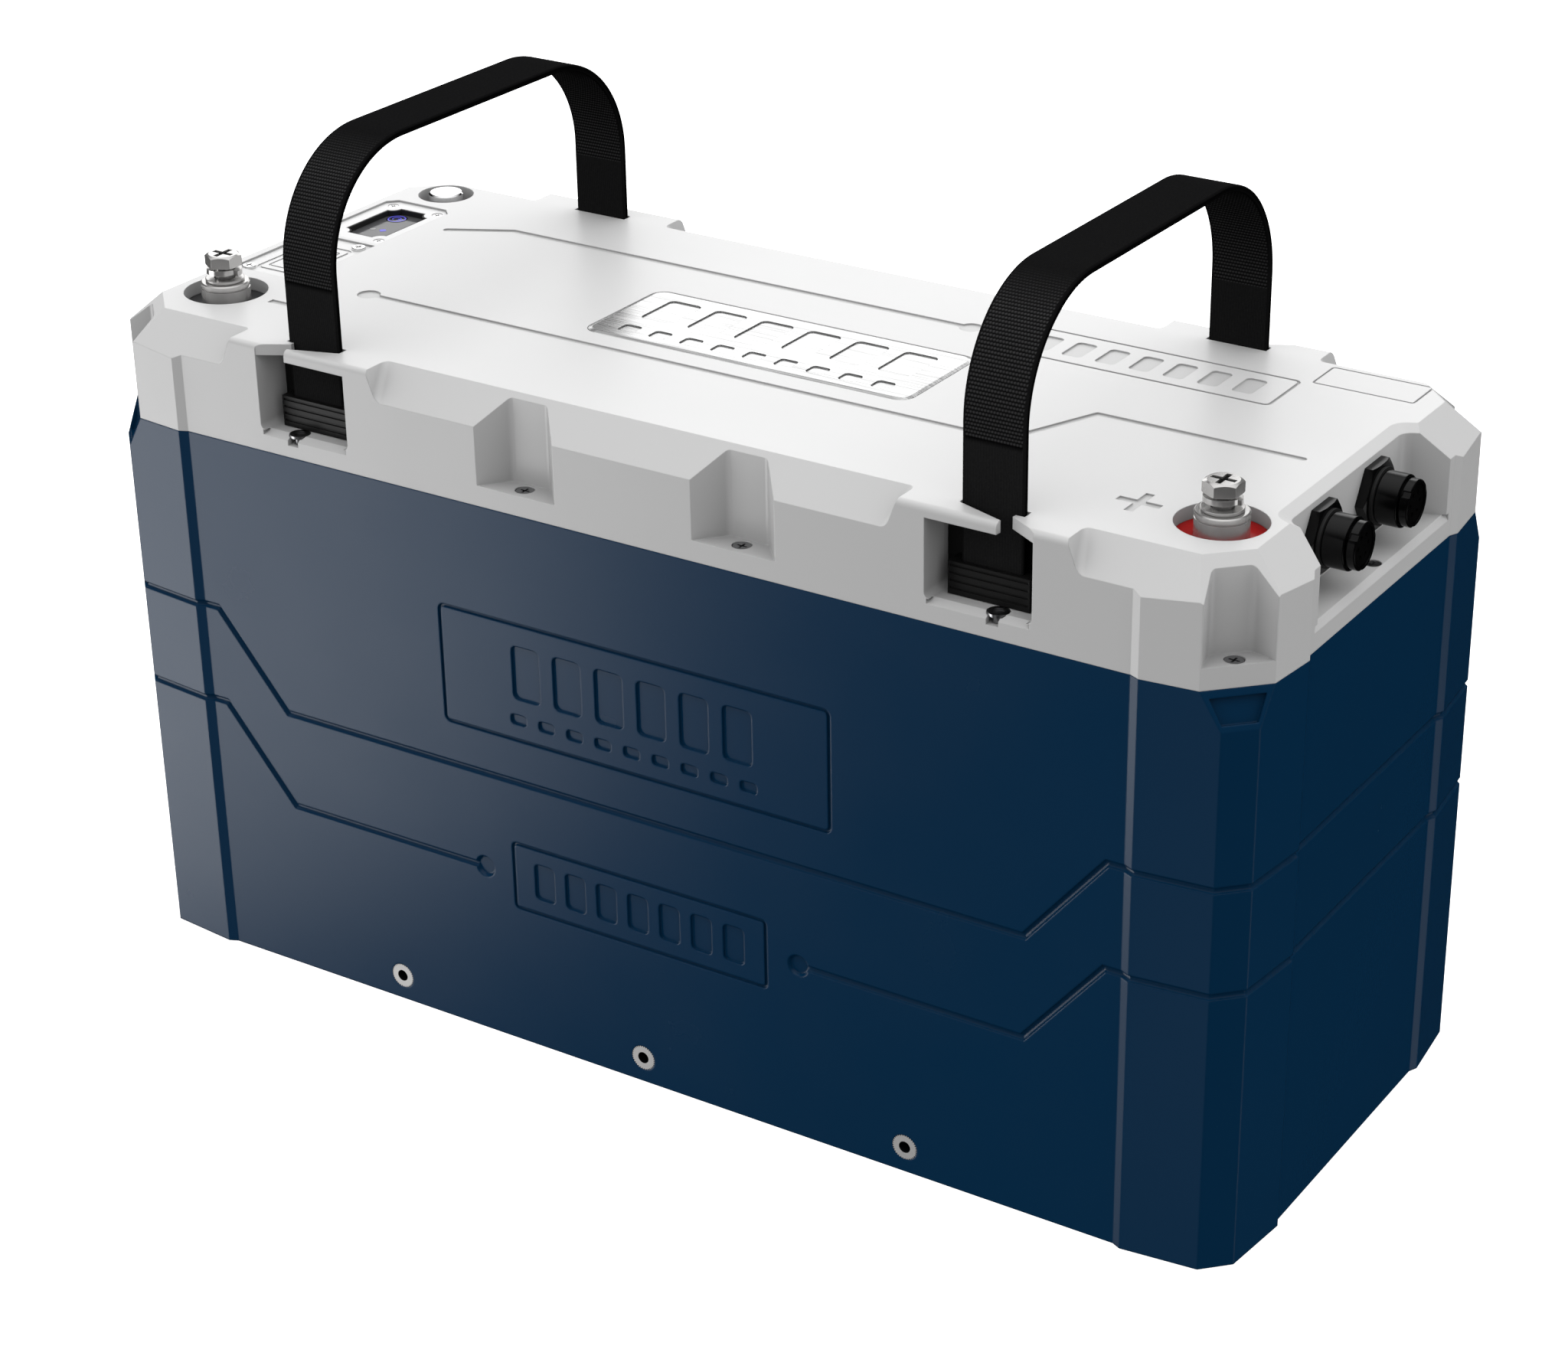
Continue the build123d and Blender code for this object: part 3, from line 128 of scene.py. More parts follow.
def noise(tree, scale, detail=3.0, roughness=0.5, stretch=(1, 1, 1)):
    """Noise in the object's own frame, drawn out along an axis whose stretch is small."""
    coords = place(tree, "ShaderNodeTexCoord")
    mapping = place(tree, "ShaderNodeMapping")
    mapping.inputs["Scale"].default_value = stretch
    texture = place(tree, "ShaderNodeTexNoise")
    texture.inputs["Scale"].default_value = scale
    texture.inputs["Detail"].default_value = detail
    texture.inputs["Roughness"].default_value = roughness
    tree.links.new(coords.outputs["Object"], mapping.inputs["Vector"])
    tree.links.new(mapping.outputs["Vector"], texture.inputs["Vector"])
    return texture.outputs["Fac"]


def spread(tree, value, low, high, start=0.0, stop=1.0, kind="LINEAR"):
    """Maps a value that runs from start to stop onto the range from low to high."""
    node = place(tree, "ShaderNodeMapRange", interpolation_type=kind)
    ends = {"Value": value, "From Min": start, "From Max": stop, "To Min": low, "To Max": high}
    for name, item in ends.items():
        feed(tree, item, node.inputs[name])
    return node.outputs["Result"]


def tint(tree, factor, dark, light):
    """Colour between two tints, by a factor."""
    return mix(tree, "RGBA", factor, (*dark, 1), (*light, 1))


def rounded(tree, radius):
    """Normals of edges rounded by a radius in metres."""
    node = place(tree, "ShaderNodeBevel", samples=6)
    node.inputs["Radius"].default_value = radius
    return node.outputs["Normal"]


def bump(tree, height, strength, distance, normal=None):
    """Bump of a height field, on top of another normal if there is one."""
    node = place(tree, "ShaderNodeBump")
    node.inputs["Strength"].default_value = strength
    node.inputs["Distance"].default_value = distance
    tree.links.new(height, node.inputs["Height"])
    if normal is not None:
        tree.links.new(normal, node.inputs["Normal"])
    return node.outputs["Normal"]


def plastic(name, colour, roughness, edge=0.0, grain=0.02, coat=0.0, vary=0.06, specular=0.5):
    """Moulded plastic: faint mottling, a fine spark-eroded grain, soft edges."""
    mat, tree, shader = new_material(name)
    mottle = noise(tree, scale=9.0, detail=4.0)
    dark = [c * (1 - vary) for c in colour]
    light = [min(1.0, c * (1 + vary)) for c in colour]
    tree.links.new(tint(tree, mottle, dark, light), shader.inputs["Base Color"])
    patches = noise(tree, scale=26.0, detail=5.0)
    tree.links.new(spread(tree, patches, roughness * 0.88, roughness * 1.12), shader.inputs["Roughness"])
    specks = noise(tree, scale=1400.0, detail=2.0)
    normal = rounded(tree, edge) if edge else None
    tree.links.new(bump(tree, specks, 0.35, grain * MM, normal), shader.inputs["Normal"])
    shader.inputs["Coat Weight"].default_value = coat
    shader.inputs["Coat Roughness"].default_value = 0.12
    shader.inputs["Specular IOR Level"].default_value = specular
    return mat


def metal(name, colour, roughness, stretch=(1, 1, 1), edge=0.0, scale=300.0, depth=0.01, bare=1.0):
    """Metal with fine marks, drawn out where stretch is small; bare is how metallic it is."""
    mat, tree, shader = new_material(name)
    shader.inputs["Metallic"].default_value = bare
    mottle = noise(tree, scale=40.0, detail=4.0)
    dark = [c * 0.9 for c in colour]
    light = [min(1.0, c * 1.06) for c in colour]
    tree.links.new(tint(tree, mottle, dark, light), shader.inputs["Base Color"])
    marks = noise(tree, scale, detail=4.0, roughness=0.6, stretch=stretch)
    tree.links.new(spread(tree, marks, roughness * 0.7, roughness * 1.3), shader.inputs["Roughness"])
    normal = rounded(tree, edge) if edge else None
    tree.links.new(bump(tree, marks, 0.5, depth * MM, normal), shader.inputs["Normal"])
    return mat


LEVEL = 0.99                   # a floor is level if its normal's Z is above this
SQUARE = 0.9                   # an insert's face is an end face if its normal's Y is beyond this; its other faces get painted shade


def paint_floor_shade(mat, low, high, share):
    """Paints shade onto the level floors that lie between two heights, such as those of the lid's grooves."""
    tree = mat.node_tree
    colour = tree.nodes["Principled BSDF"].inputs["Base Color"]
    plain = colour.links[0].from_socket
    height = component(tree, place(tree, "ShaderNodeTexCoord").outputs["Object"], "Z")
    facing = component(tree, place(tree, "ShaderNodeNewGeometry").outputs["True Normal"], "Z")
    above = maths(tree, "GREATER_THAN", height, low)
    below = maths(tree, "LESS_THAN", height, high)
    level = maths(tree, "GREATER_THAN", facing, LEVEL)
    floor = maths(tree, "MULTIPLY", maths(tree, "MULTIPLY", above, below), level)
    # painted shade: the floors between the two heights are darkened towards black
    shade_share = maths(tree, "MULTIPLY", floor, share)
    tree.links.new(mix(tree, "RGBA", shade_share, plain, (0, 0, 0, 1)), colour)


def brushed(name, low, high, roughness):
    """Brushed sheet metal: long streaks of lighter and darker grey along X."""
    mat, tree, shader = new_material(name)
    streaks = noise(tree, scale=1600.0, detail=5.0, roughness=0.65, stretch=(0.015, 1, 1))
    shade = spread(tree, streaks, 0.0, 1.0, start=0.34, stop=0.62)
    tree.links.new(tint(tree, shade, low, high), shader.inputs["Base Color"])
    tree.links.new(spread(tree, streaks, roughness * 0.7, roughness * 1.3), shader.inputs["Roughness"])
    tree.links.new(bump(tree, streaks, 0.4, 0.01 * MM, rounded(tree, 0.2 * MM)), shader.inputs["Normal"])
    shader.inputs["Metallic"].default_value = 0.9
    return mat


def knurled(name, face, shade_tint):
    """Knurled insert: bright end faces; painted shade, near black, in its bore and between its teeth."""
    mat, tree, shader = new_material(name)
    normal = place(tree, "ShaderNodeNewGeometry").outputs["True Normal"]
    ends = maths(tree, "GREATER_THAN", maths(tree, "ABSOLUTE", component(tree, normal, "Y")), SQUARE)
    marks = noise(tree, scale=900.0, detail=4.0)
    bright = tint(tree, marks, [c * 0.85 for c in face], face)
    # painted shade: the bore and the teeth's flanks, where little light reaches, take the near-black tint
    dark = tint(tree, marks, [c * 0.7 for c in shade_tint], shade_tint)
    tree.links.new(mix(tree, "RGBA", ends, dark, bright), shader.inputs["Base Color"])
    tree.links.new(spread(tree, marks, 0.4, 0.65), shader.inputs["Roughness"])
    shader.inputs["Metallic"].default_value = 0.5
    return mat


def glowing(name, colour, strength):
    """Lit symbol of the display."""
    mat, tree, shader = new_material(name)
    level = noise(tree, scale=900.0)
    tree.links.new(tint(tree, level, [c * 0.8 for c in colour], colour), shader.inputs["Emission Color"])
    shader.inputs["Base Color"].default_value = (*[c * 0.3 for c in colour], 1)
    shader.inputs["Emission Strength"].default_value = strength
    shader.inputs["Roughness"].default_value = 0.3
    return mat


def webbing(name):
    """Black polyester webbing: painted shade between the yarns, painted highlight on their crowns."""
    mat, tree, shader = new_material(name)
    yarn = noise(tree, scale=2600.0, detail=3.0, stretch=(1.0, 0.35, 0.35))
    crown = place(tree, "ShaderNodeAttribute", attribute_name="crown").outputs["Fac"]
    # gap is painted shade and thread a painted highlight, blended by the crown
    gap = tint(tree, yarn, (0.0015, 0.0015, 0.0016), (0.004, 0.004, 0.0042))
    thread = tint(tree, yarn, (0.044, 0.044, 0.045), (0.100, 0.100, 0.102))
    tree.links.new(mix(tree, "RGBA", crown, gap, thread), shader.inputs["Base Color"])
    tree.links.new(spread(tree, yarn, 0.55, 0.8), shader.inputs["Roughness"])
    tree.links.new(bump(tree, yarn, 0.6, 0.06 * MM), shader.inputs["Normal"])
    shader.inputs["Specular IOR Level"].default_value = 0.0
    return mat


# ---------------------------------------------------------------- finishes of the CAD nodes
def make_finishes():
    """Procedural finishes: one per material slot of the record, and those of the added pieces."""
    return {
        "case_navy": plastic("case_navy", (0.0006, 0.036, 0.098), 0.26, edge=0.9 * MM, grain=0.012,
                             vary=0.04, specular=0.2),
        "lid_grey": plastic("lid_grey", (0.76, 0.76, 0.76), 0.38, edge=0.5 * MM, grain=0.012, vary=0.012),
        "seal_rubber": plastic("seal_rubber", (0.02, 0.02, 0.02), 0.7, grain=0.05),
        "screw_steel": metal("screw_steel", (0.34, 0.34, 0.35), 0.32, edge=0.15 * MM),
        "screw_bright": metal("screw_bright", (0.90, 0.90, 0.90), 0.20, edge=0.1 * MM),
        # its second tint is painted shade for the bore and between the teeth
        "insert_steel": knurled("insert_steel", (0.74, 0.73, 0.72), (0.012, 0.013, 0.016)),
        "badge_metal": brushed("badge_metal", (0.42, 0.42, 0.42), (0.86, 0.86, 0.86), 0.26),
        "vent_metal": metal("vent_metal", (0.86, 0.86, 0.87), 0.12, edge=0.2 * MM),
        "bezel_white": plastic("bezel_white", (0.80, 0.80, 0.80), 0.3, edge=0.2 * MM, grain=0.01, vary=0.01),
        "display_glass": plastic("display_glass", (0.095, 0.096, 0.100), 0.12, grain=0.0, vary=0.1,
                                 specular=0.2),
        "display_dark": plastic("display_dark", (0.012, 0.012, 0.014), 0.5),
        "button_dark": plastic("button_dark", (0.03, 0.03, 0.036), 0.14, edge=0.1 * MM, grain=0.0, coat=0.5),
        "cover_white": plastic("cover_white", (0.80, 0.80, 0.80), 0.32, edge=0.2 * MM, grain=0.01, vary=0.01),
        "connector_black": plastic("connector_black", (0.0022, 0.0022, 0.0024), 0.22, edge=0.35 * MM,
                                   grain=0.02, specular=0.22),
        "connector_core": plastic("connector_core", (0.003, 0.003, 0.003), 0.5, grain=0.03, specular=0.1),
        "insulation_sheet": plastic("insulation_sheet", (0.28, 0.35, 0.28), 0.5),
        "end_plate": metal("end_plate", (0.55, 0.55, 0.56), 0.35),
        "band_steel": metal("band_steel", (0.5, 0.5, 0.51), 0.3, stretch=(0.05, 0.05, 1)),
        "busbar_aluminium": metal("busbar_aluminium", (0.68, 0.68, 0.68), 0.3, stretch=(0.05, 1, 1)),
        "flex_amber": plastic("flex_amber", (0.5, 0.25, 0.05), 0.4),
        "foam": plastic("foam", (0.05, 0.05, 0.055), 0.9, grain=0.3, vary=0.2),
        "board_green": plastic("board_green", (0.02, 0.16, 0.06), 0.35, coat=0.3),
        "heatsink": metal("heatsink", (0.5, 0.5, 0.51), 0.35, stretch=(0.05, 1, 1)),
        "insulator_red": plastic("insulator_red", (0.56, 0.006, 0.005), 0.25, edge=0.2 * MM, specular=0.2),
        "insulator_dark": plastic("insulator_dark", (0.028, 0.029, 0.032), 0.34, edge=0.2 * MM, coat=0.3),
        "terminal_metal": metal("terminal_metal", (0.68, 0.67, 0.66), 0.22, edge=0.12 * MM, scale=500.0,
                                bare=0.72),
        "busbar_copper": metal("busbar_copper", (0.72, 0.38, 0.22), 0.28, stretch=(0.1, 1, 1)),
        "webbing_black": webbing("webbing_black"),
        "anchor_black": plastic("anchor_black", (0.012, 0.012, 0.012), 0.4, edge=0.25 * MM, grain=0.03,
                                specular=0.15),
        "cell_case": plastic("cell_case", (0.04, 0.14, 0.36), 0.4, vary=0.04, coat=0.2),
        "light_blue": glowing("light_blue", (0.10, 0.09, 0.62), 0.9),
        "light_grey": glowing("light_grey", (0.45, 0.45, 0.45), 0.4),
        # painted shadow: near black for the piece at the bottom of the bolts' cross recesses
        "recess_shadow_black": plastic("recess_shadow_black", (0.004, 0.004, 0.004), 0.6, grain=0.04, specular=0.1),
    }


def dress_nodes(finishes):
    """Gives each CAD node its slot's finish."""
    for part in frame["record"]["subparts"]:
        mesh = nodes[part["node"]].data
        mesh.materials.clear()
        mesh.materials.append(finishes[part["material_slot"]])


# ---------------------------------------------------------------- carry straps
STRAP_THICKNESS = 3.0 * MM
STRAP_CORNER = 45.5 * MM       # bend of the strap's middle line
RIB_PITCH = 1.4 * MM           # coarse ribs round the arch's corners
RIB_HEIGHT = 0.30 * MM
RIB_SINK = 0.4                 # share of that height that lies under the weave's ground
KNOT_PITCH = 1.25 * MM         # knots along each rib
KNOT_SHARE = 0.55              # share of a rib's height that its knots make
# the crown shares below set the webbing's painted highlight; where the crown is low, painted shade
KNOT_CROWN = 0.75              # and share of its crown
CORD_PITCH = 0.625 * MM        # fine lengthwise cords on the plain stretches
CORD_HEIGHT = 0.05 * MM
PLAIN_CROWN = 0.14             # crown of the plain weave between its cords
CORD_CROWN = 0.16              # and what a cord adds to it
FLAT_TOP_SHADE = 0.65             # share of that crown taken off as painted shade where the strap lies flat and faces up
BORDER = 1.1 * MM              # smooth border along both edges
PLAIN_BELOW = 304.0 * MM       # under this height the weave is fine and plain
FLAT_DROP = 0.8 * MM           # and above the arch's top less this, too
RIB_FADE = 9.0 * MM            # the ribs fade out over this height below the flat top
FACE_INSET = 0.18 * MM         # the weave's ground lies this far inside the CAD strap's faces
EDGE_DROP = 0.45 * MM          # the faces round off by this much
EDGE_REACH = 0.5 * MM          # over this width at each edge
LAYER_GAP = 0.22 * MM          # depth of the line between the two layers
# points of that line: height as a share of the half thickness, depth as a share of the gap
SIDE_POINTS = ((0.35, 0.0), (0.0, 1.0), (-0.35, 0.0))
FINE_STEP = 0.35 * MM          # mesh step along the ribs, and along the plain stretches
PLAIN_STEP = 2.0 * MM
COLUMNS = 80                   # mesh columns across each face


def arch_point(s, half_span, leg, top):
    """Point and outward normal of the strap's middle line in the Y-Z plane, at a distance s along it."""
    turn = STRAP_CORNER * math.pi / 2
    flat = 2 * (half_span - STRAP_CORNER)
    centre_y = half_span - STRAP_CORNER
    centre_z = top - STRAP_CORNER
    if s < leg:
        return -half_span, centre_z - leg + s, -1.0, 0.0
    if s < leg + turn:
        a = (s - leg) / STRAP_CORNER
        return (-centre_y - STRAP_CORNER * math.cos(a), centre_z + STRAP_CORNER * math.sin(a),
                -math.cos(a), math.sin(a))
    if s < leg + turn + flat:
        return s - leg - turn - centre_y, top, 0.0, 1.0
    if s < leg + 2 * turn + flat:
        a = (s - leg - turn - flat) / STRAP_CORNER
        return (centre_y + STRAP_CORNER * math.sin(a), centre_z + STRAP_CORNER * math.cos(a),
                math.sin(a), math.cos(a))
    return half_span, centre_z - (s - leg - 2 * turn - flat), 1.0, 0.0


def weave(s, across, width, ribs, pale):
    """Height of the weave over the strap's face, and how far it is on a yarn's crown, 0 to 1, which sets its
    painted light and shade.

    The ribs' share runs from 0, plain weave, to 1, and pale dims the plain weave's crown as painted shade
    where the strap faces up.
    """
    edge = min(across, width - across)
    if edge < BORDER:
        return 0.0, PLAIN_CROWN * pale
    cord = math.cos(math.pi * across / CORD_PITCH) ** 2
    fine = CORD_HEIGHT * cord
    fine_crown = (PLAIN_CROWN + CORD_CROWN * cord) * pale
    if ribs <= 0.0:
        return fine, fine_crown
    row = math.sin(math.pi * s / RIB_PITCH) ** 2
    offset = (int(s / RIB_PITCH) % 2) * 0.5
    knot = math.sin(math.pi * (across / KNOT_PITCH + offset)) ** 2
    rough = RIB_HEIGHT * (row * (1 - KNOT_SHARE + KNOT_SHARE * knot) - RIB_SINK)
    rough_crown = row * (1 - KNOT_CROWN + KNOT_CROWN * knot)
    return fine + ribs * (rough - fine), fine_crown + ribs * (rough_crown - fine_crown)


def make_strap(name, finishes):
    """Two-layer webbing strap, woven relief on both faces, a fine line between its layers."""
    low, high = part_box(name)
    width = high.x - low.x
    half_span = high.y - STRAP_THICKNESS / 2
    top = high.z - STRAP_THICKNESS / 2
    leg = top - STRAP_CORNER - low.z
    length = 2 * leg + STRAP_CORNER * math.pi + 2 * (half_span - STRAP_CORNER)
    flat_from = top - FLAT_DROP
    bm = bmesh.new()
    crown_of = bm.verts.layers.float.new("crown")
    rings = []
    s = 0.0
    while True:
        y, z, ny, nz = arch_point(s, half_span, leg, top)
        ribs = min(1.0, (flat_from - z) / RIB_FADE) if z > PLAIN_BELOW else 0.0
        # painted shade: the crown is dimmed where the strap's face points up
        pale = 1.0 - FLAT_TOP_SHADE * abs(nz)
        ring = []
        for face in (1, -1):
            for c in range(COLUMNS + 1):
                across = width * c / COLUMNS if face > 0 else width * (1 - c / COLUMNS)
                edge = min(across, width - across)
                rise, crown = weave(s, across, width, ribs, pale)
                drop = EDGE_DROP * max(0.0, 1 - edge / EDGE_REACH) ** 2
                out = face * (STRAP_THICKNESS / 2 - drop - FACE_INSET + rise)
                vert = bm.verts.new((low.x + across, y + ny * out, z + nz * out))
                vert[crown_of] = crown
                ring.append(vert)
            side_x = high.x if face > 0 else low.x
            inward = LAYER_GAP if face > 0 else -LAYER_GAP
            for step, dip in SIDE_POINTS:
                out = face * step * STRAP_THICKNESS / 2
                ring.append(bm.verts.new((side_x - inward * dip, y + ny * out, z + nz * out)))
        rings.append(ring)
        if s >= length:
            break
        s = min(length, s + (FINE_STEP if ribs > 0.0 else PLAIN_STEP))
    size = len(rings[0])
    for a, b in zip(rings, rings[1:]):
        for k in range(size):
            n = (k + 1) % size
            bm.faces.new((a[k], a[n], b[n], b[k]))
    bm.faces.new(list(reversed(rings[0])))
    bm.faces.new(rings[-1])
    bmesh.ops.recalc_face_normals(bm, faces=bm.faces)
    strap = new_piece(name + "_webbing", bm, finishes["webbing_black"])
    side = name.split("_")[0]
    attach(strap, side + "_handle")
    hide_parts(name)


# ---------------------------------------------------------------- small pieces
ARC_STEP = 7.5                 # degrees between the points of a ring
RING = (0.96, 0.76)            # the lit ring's radii, as shares of the button's
ARC = (0.48, 0.36)             # the power symbol's
BAR = (0.15, 0.6, 0.07)        # and its bar's ends and half width
LIGHT_SINK = 0.02 * MM         # the lit symbols start this far inside the surface they lie on
BUTTON_RISE = 0.08 * MM        # and stand this far over it
WINDOW_RISE = 0.07 * MM
WINDOW_LIGHTS = (              # name, place as shares of the window, radius, shape, crown, finish
    ("status_light", (0.278, 0.394), 1.3 * MM, 2.0, 0.06 * MM, "light_grey"),
    ("link_light", (0.509, 0.411), 1.7 * MM, 1.2, 0.05 * MM, "light_blue"),
)
CROSS_REACH = 4.66 * MM        # half the length of a bolt's cross recess
CROSS_HALF = 1.02 * MM         # half the width of its arms
CROSS_DEPTH = 2.15 * MM        # from the head's top to the bottom of the painted shadow
CROSS_FILL = 1.5 * MM          # height of that painted shadow at its rim
CROSS_DISH = 0.4 * MM          # and how much lower its middle is


def new_piece(name, bm, material, smooth=True):
    """Object from a finished bmesh, with one material."""
    mesh = bpy.data.meshes.new(name)
    bm.to_mesh(mesh)
    bm.free()
    for polygon in mesh.polygons:
        polygon.use_smooth = smooth
    mesh.materials.append(material)
    piece = bpy.data.objects.new(name, mesh)
    bpy.context.scene.collection.objects.link(piece)
    return piece


def add_ring(bm, centre, outer, inner, low, high, start=0.0, sweep=360.0):
    """Flat ring or arc with a rounded section, lying at a height."""
    steps = max(6, int(sweep / ARC_STEP))
    closed = sweep >= 360.0
    middle, half = (outer + inner) / 2, (outer - inner) / 2
    section = [(-half, low), (-half, high - half * 0.3), (-half * 0.5, high), (half * 0.5, high),
               (half, high - half * 0.3), (half, low)]
    loops = []
    for k in range(steps if closed else steps + 1):
        a = math.radians(start + sweep * k / steps)
        loops.append([bm.verts.new((centre[0] + (middle + r) * math.cos(a),
                                    centre[1] + (middle + r) * math.sin(a), z)) for r, z in section])
    pairs = list(zip(loops, loops[1:] + loops[:1])) if closed else list(zip(loops, loops[1:]))
    for a, b in pairs:
        for k in range(len(section)):
            n = (k + 1) % len(section)
            bm.faces.new((a[k], b[k], b[n], a[n]))
    if not closed:
        bm.faces.new(loops[0])
        bm.faces.new(list(reversed(loops[-1])))


def add_pad(bm, outline, low, high, crown=0.0):
    """Low pad over an outline, its top edge drawn in, its middle raised by the crown."""
    cx = sum(x for x, _ in outline) / len(outline)
    cy = sum(y for _, y in outline) / len(outline)
    levels = [(1.0, low), (1.0, high - (high - low) * 0.3), (0.9, high)]
    loops = [[bm.verts.new((cx + (x - cx) * f, cy + (y - cy) * f, z)) for x, y in outline]
             for f, z in levels]
    for a, b in zip(loops, loops[1:]):
        for k in range(len(outline)):
            n = (k + 1) % len(outline)
            bm.faces.new((a[k], a[n], b[n], b[k]))
    peak = bm.verts.new((cx, cy, high + crown))
    for k in range(len(outline)):
        bm.faces.new((loops[-1][k], loops[-1][(k + 1) % len(outline)], peak))
    bm.faces.new(list(reversed(loops[0])))


def round_outline(centre, radius, count=28, power=2.0):
    """Circle, or a squarer or more pointed round shape, as points."""
    points = []
    for k in range(count):
        a = 2 * math.pi * k / count
        c, s = math.cos(a), math.sin(a)
        points.append((centre[0] + radius * math.copysign(abs(c) ** (2 / power), c),
                       centre[1] + radius * math.copysign(abs(s) ** (2 / power), s)))
    return points


def make_power_symbol(finishes):
    """Lit ring and power symbol on the button."""
    low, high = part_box("power_button")
    x, y = (low.x + high.x) / 2, (low.y + high.y) / 2
    radius = (high.x - low.x) / 2
    base, lit = high.z - LIGHT_SINK, high.z + BUTTON_RISE
    bm = bmesh.new()
    add_ring(bm, (x, y), radius * RING[0], radius * RING[1], base, lit)
    add_ring(bm, (x, y), radius * ARC[0], radius * ARC[1], base, lit, start=-60, sweep=300)
    near, far, half = (radius * share for share in BAR)
    add_pad(bm, [(x + near, y - half), (x + far, y - half), (x + far, y + half), (x + near, y + half)],
            base, lit)
    ring = new_piece("power_symbol", bm, finishes["light_blue"])
    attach(ring, "power_button")


def make_window_lights(finishes):
    """Status light and a small pointed symbol on the window."""
    low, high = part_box("display_window")
    for name, share, radius, shape, crown, finish in WINDOW_LIGHTS:
        centre = (low.x + share[0] * (high.x - low.x), low.y + share[1] * (high.y - low.y))
        bm = bmesh.new()
        add_pad(bm, round_outline(centre, radius, power=shape), high.z - LIGHT_SINK, high.z + WINDOW_RISE,
                crown=crown)
        light = new_piece(name, bm, finishes[finish])
        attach(light, "battery")


def add_cross(bm, outline, centre, low, high):
    """Prism over a cross outline, its top dished towards the middle."""
    bottom = [bm.verts.new((x, y, low)) for x, y in outline]
    top = [bm.verts.new((x, y, high)) for x, y in outline]
    middle_low = bm.verts.new((centre[0], centre[1], low))
    middle_high = bm.verts.new((centre[0], centre[1], high - CROSS_DISH))
    for k in range(len(outline)):
        n = (k + 1) % len(outline)
        bm.faces.new((bottom[k], bottom[n], top[n], top[k]))
        bm.faces.new((top[k], top[n], middle_high))
        bm.faces.new((bottom[n], bottom[k], middle_low))


def make_recess_shadow(side, finishes):
    """Black filling at the bottom of a bolt head's cross recess: painted shadow where the recess lies in
    shade.
    """
    low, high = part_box(side + "_terminal_bolt")
    centre = ((low.x + high.x) / 2, (low.y + high.y) / 2)
    outline = []
    for k in range(4):
        a = k * math.pi / 2
        c, s = math.cos(a), math.sin(a)
        for x, y in ((CROSS_HALF, -CROSS_HALF), (CROSS_REACH, -CROSS_HALF), (CROSS_REACH, CROSS_HALF)):
            outline.append((centre[0] + c * x - s * y, centre[1] + s * x + c * y))
    bottom = high.z - CROSS_DEPTH
    bm = bmesh.new()
    add_cross(bm, outline, centre, bottom, bottom + CROSS_FILL)
    fill = new_piece(side + "_recess_shadow", bm, finishes["recess_shadow_black"], smooth=False)
    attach(fill, side + "_bolt")


# ---------------------------------------------------------------- surroundings
DOME = 1.09                    # light that the matt surfaces get from above
DOME_TILT = (-0.35, 0.5, 0.0)  # the dome is brighter on the left and at the back
GROUND = 0.27                  # light from below the horizon
SKY_LOW = 0.008                # what the shiny surfaces see near the horizon
SKY_HIGH = 1.20                # and overhead
SKY_BAND = (0.48, 0.97)        # where it rises, as the height of the view direction
FLOOR_SIZE = 14                # in metres
FLOOR_GLOW = 0.70              # the floor's own light, which keeps it pale


def make_sky():
    """Studio dome: soft for matt surfaces; shiny ones see a bright ceiling over a dark horizon."""
    world = bpy.data.worlds.new("studio")
    bpy.context.scene.world = world
    world.use_nodes = True
    # without this some of the dome's light reaches the matt surfaces by rays not marked diffuse
    world.cycles.sampling_method = "NONE"
    tree = world.node_tree
    view = place(tree, "ShaderNodeTexCoord").outputs["Generated"]
    height = component(tree, view, "Z")
    shiny = spread(tree, height, SKY_LOW, SKY_HIGH, *SKY_BAND, kind="SMOOTHSTEP")
    tilt = place(tree, "ShaderNodeVectorMath", operation="DOT_PRODUCT")
    feed(tree, view, tilt.inputs[0])
    feed(tree, DOME_TILT, tilt.inputs[1])
    dome = maths(tree, "MULTIPLY_ADD", tilt.outputs["Value"], DOME, DOME)
    matt = mix(tree, "FLOAT", maths(tree, "GREATER_THAN", height, 0.0), GROUND, dome)
    is_diffuse = place(tree, "ShaderNodeLightPath").outputs["Is Diffuse Ray"]
    background = tree.nodes["Background"]
    background.inputs["Color"].default_value = (1, 1, 1, 1)
    tree.links.new(mix(tree, "FLOAT", is_diffuse, shiny, matt), background.inputs["Strength"])


def make_stage():
    """Pale glowing floor, which neither lights nor shades the object and isn't mirrored in it."""
    bpy.ops.mesh.primitive_plane_add(size=FLOOR_SIZE, location=(0, 0, 0))
    floor = bpy.context.object
    floor.name = "floor"
    pale = plastic("floor_pale", (0.97, 0.97, 0.97), 0.9, vary=0.004, specular=0.0)
    shader = pale.node_tree.nodes["Principled BSDF"]
    shader.inputs["Emission Color"].default_value = (1, 1, 1, 1)
    shader.inputs["Emission Strength"].default_value = FLOOR_GLOW
    floor.data.materials.append(pale)
    floor.visible_glossy = False
    floor.visible_diffuse = False
    floor.visible_shadow = False


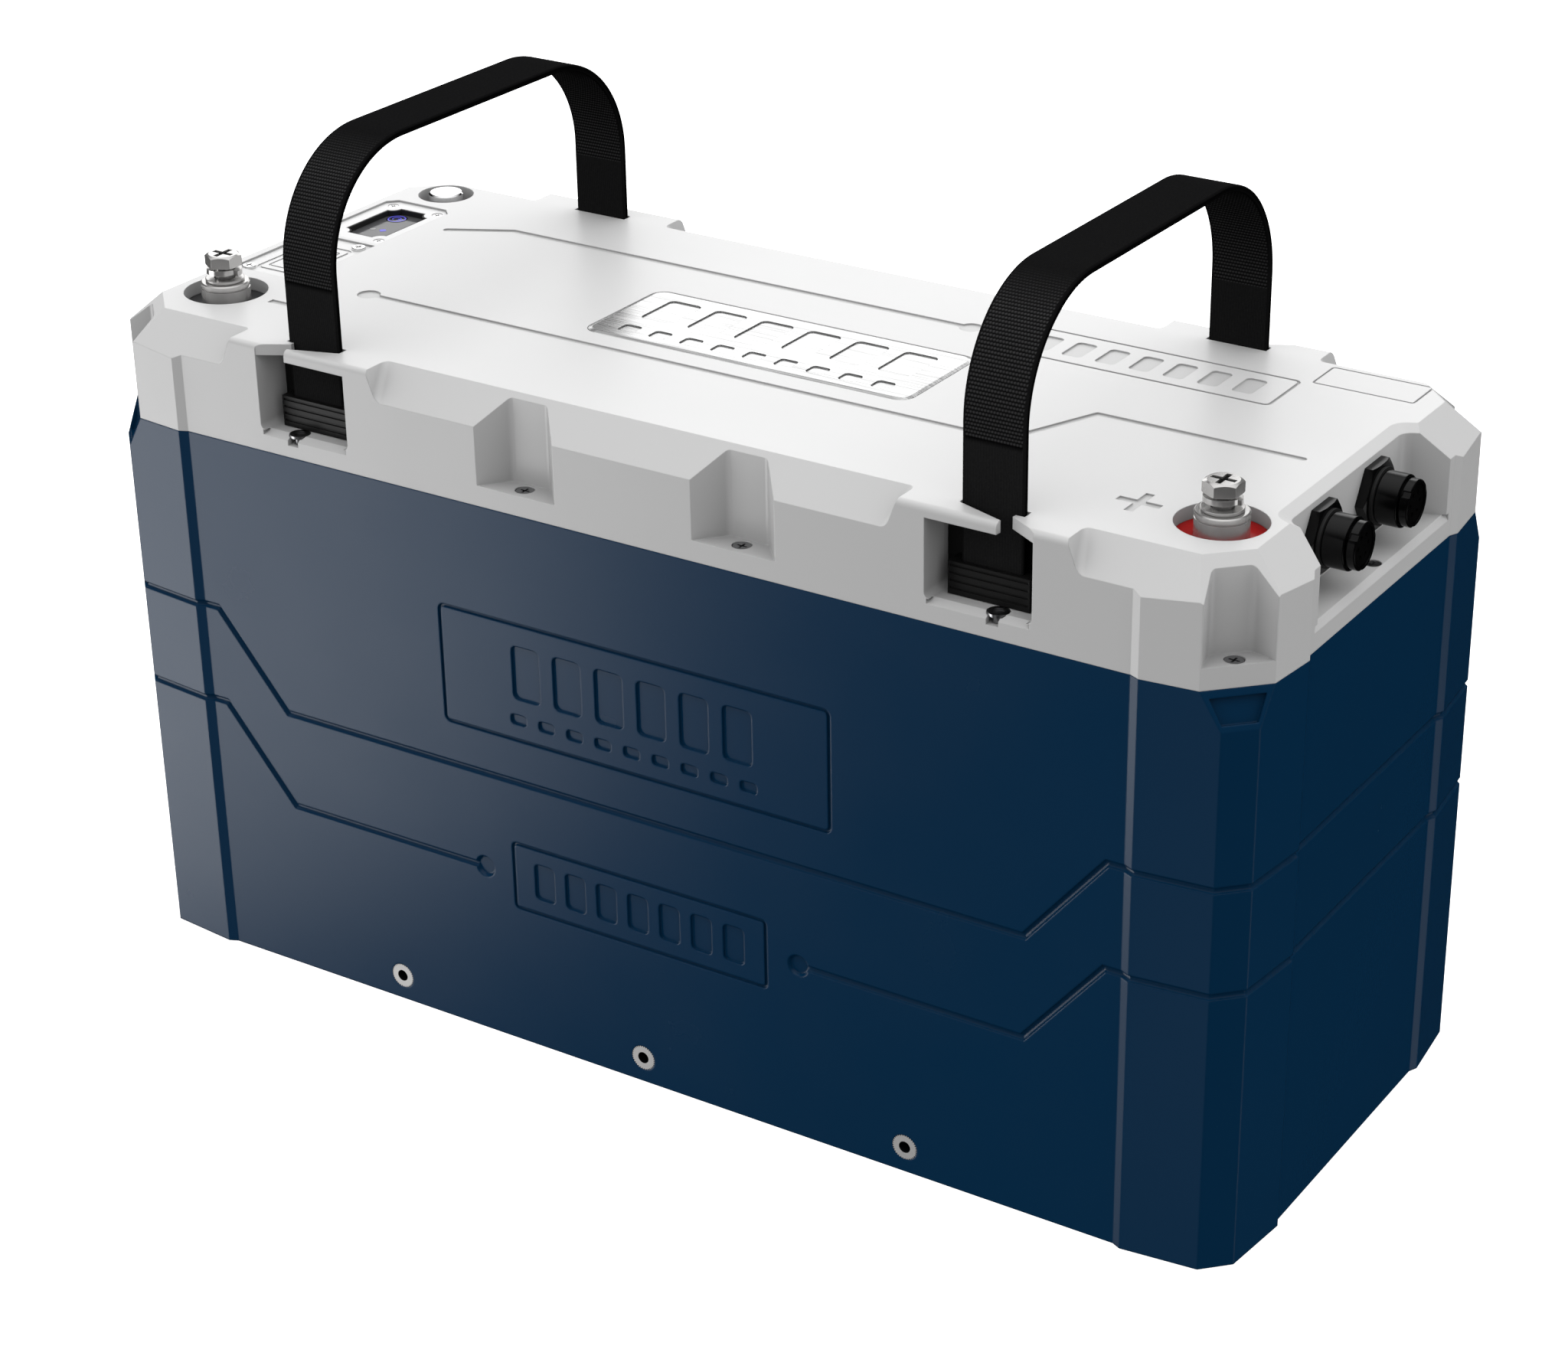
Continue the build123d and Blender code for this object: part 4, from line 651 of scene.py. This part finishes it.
def soft_light(name, place_at, aim, size, power, diffuse=True, glossy=True):
    """Rectangular area light aimed at a point."""
    data = bpy.data.lights.new(name, "AREA")
    data.shape = "RECTANGLE"
    data.size, data.size_y = size
    data.energy = power
    light = bpy.data.objects.new(name, data)
    bpy.context.scene.collection.objects.link(light)
    light.location = place_at
    light.rotation_euler = (Vector(aim) - Vector(place_at)).to_track_quat("-Z", "Y").to_euler()
    light.visible_diffuse = diffuse
    light.visible_glossy = glossy
    light.visible_camera = False


def make_lights():
    """A fill for the matt surfaces, cards for the shiny ones' reflections, and one behind for both.

    Each card is aimed at a face, and those below the floor shine through it.
    """
    soft_light("front_fill", (-1.3, -2.2, 1.1), (0, 0, 0.15), (1.4, 1.2), 1.2, glossy=False)
    soft_light("low_card", (-1.33, -0.98, -0.24), (-0.1, -0.1, 0.1), (1.0, 1.0), 13.5, diffuse=False)
    soft_light("wing_card", (0.05, -1.25, -0.45), (0.235, -0.107, 0.15), (0.4, 0.7), 0.35, diffuse=False)
    soft_light("end_card", (1.32, 0.23, -0.41), (0.26, 0.06, 0.12), (0.35, 0.7), 1.4, diffuse=False)
    soft_light("step_card", (-0.94, -0.30, -0.46), (0.214, -0.107, 0.12), (0.3, 0.7), 0.6, diffuse=False)
    soft_light("back_card", (-0.9, 1.6, 1.0), (0, 0, 0.25), (1.6, 0.9), 8)


# ---------------------------------------------------------------- the scene
BADGE_RISE = 0.4 * MM          # the badge's face above the lid's top
GROOVE_FLOORS = (0.68 * MM, 0.5 * MM)  # the lid's groove floors lie between these depths
GROOVE_SHADE = 0.16            # how much darker the painted shade makes them

make_camera()
finishes = make_finishes()
lid_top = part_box("top_badge")[1].z - BADGE_RISE
# painted shade on the lid's groove floors
paint_floor_shade(finishes["lid_grey"], lid_top - GROOVE_FLOORS[0], lid_top - GROOVE_FLOORS[1], GROOVE_SHADE)
dress_nodes(finishes)
for strap_name in ("left_strap", "right_strap"):
    make_strap(strap_name, finishes)
make_power_symbol(finishes)
make_window_lights(finishes)
# painted shadow in each bolt head's cross recess
for terminal in ("positive", "negative"):
    make_recess_shadow(terminal, finishes)
make_sky()
make_stage()
make_lights()
bpy.context.scene.view_settings.view_transform = "Standard"
bpy.context.scene.cycles.diffuse_bounces = 0  # matt surfaces take light from the dome, not each other
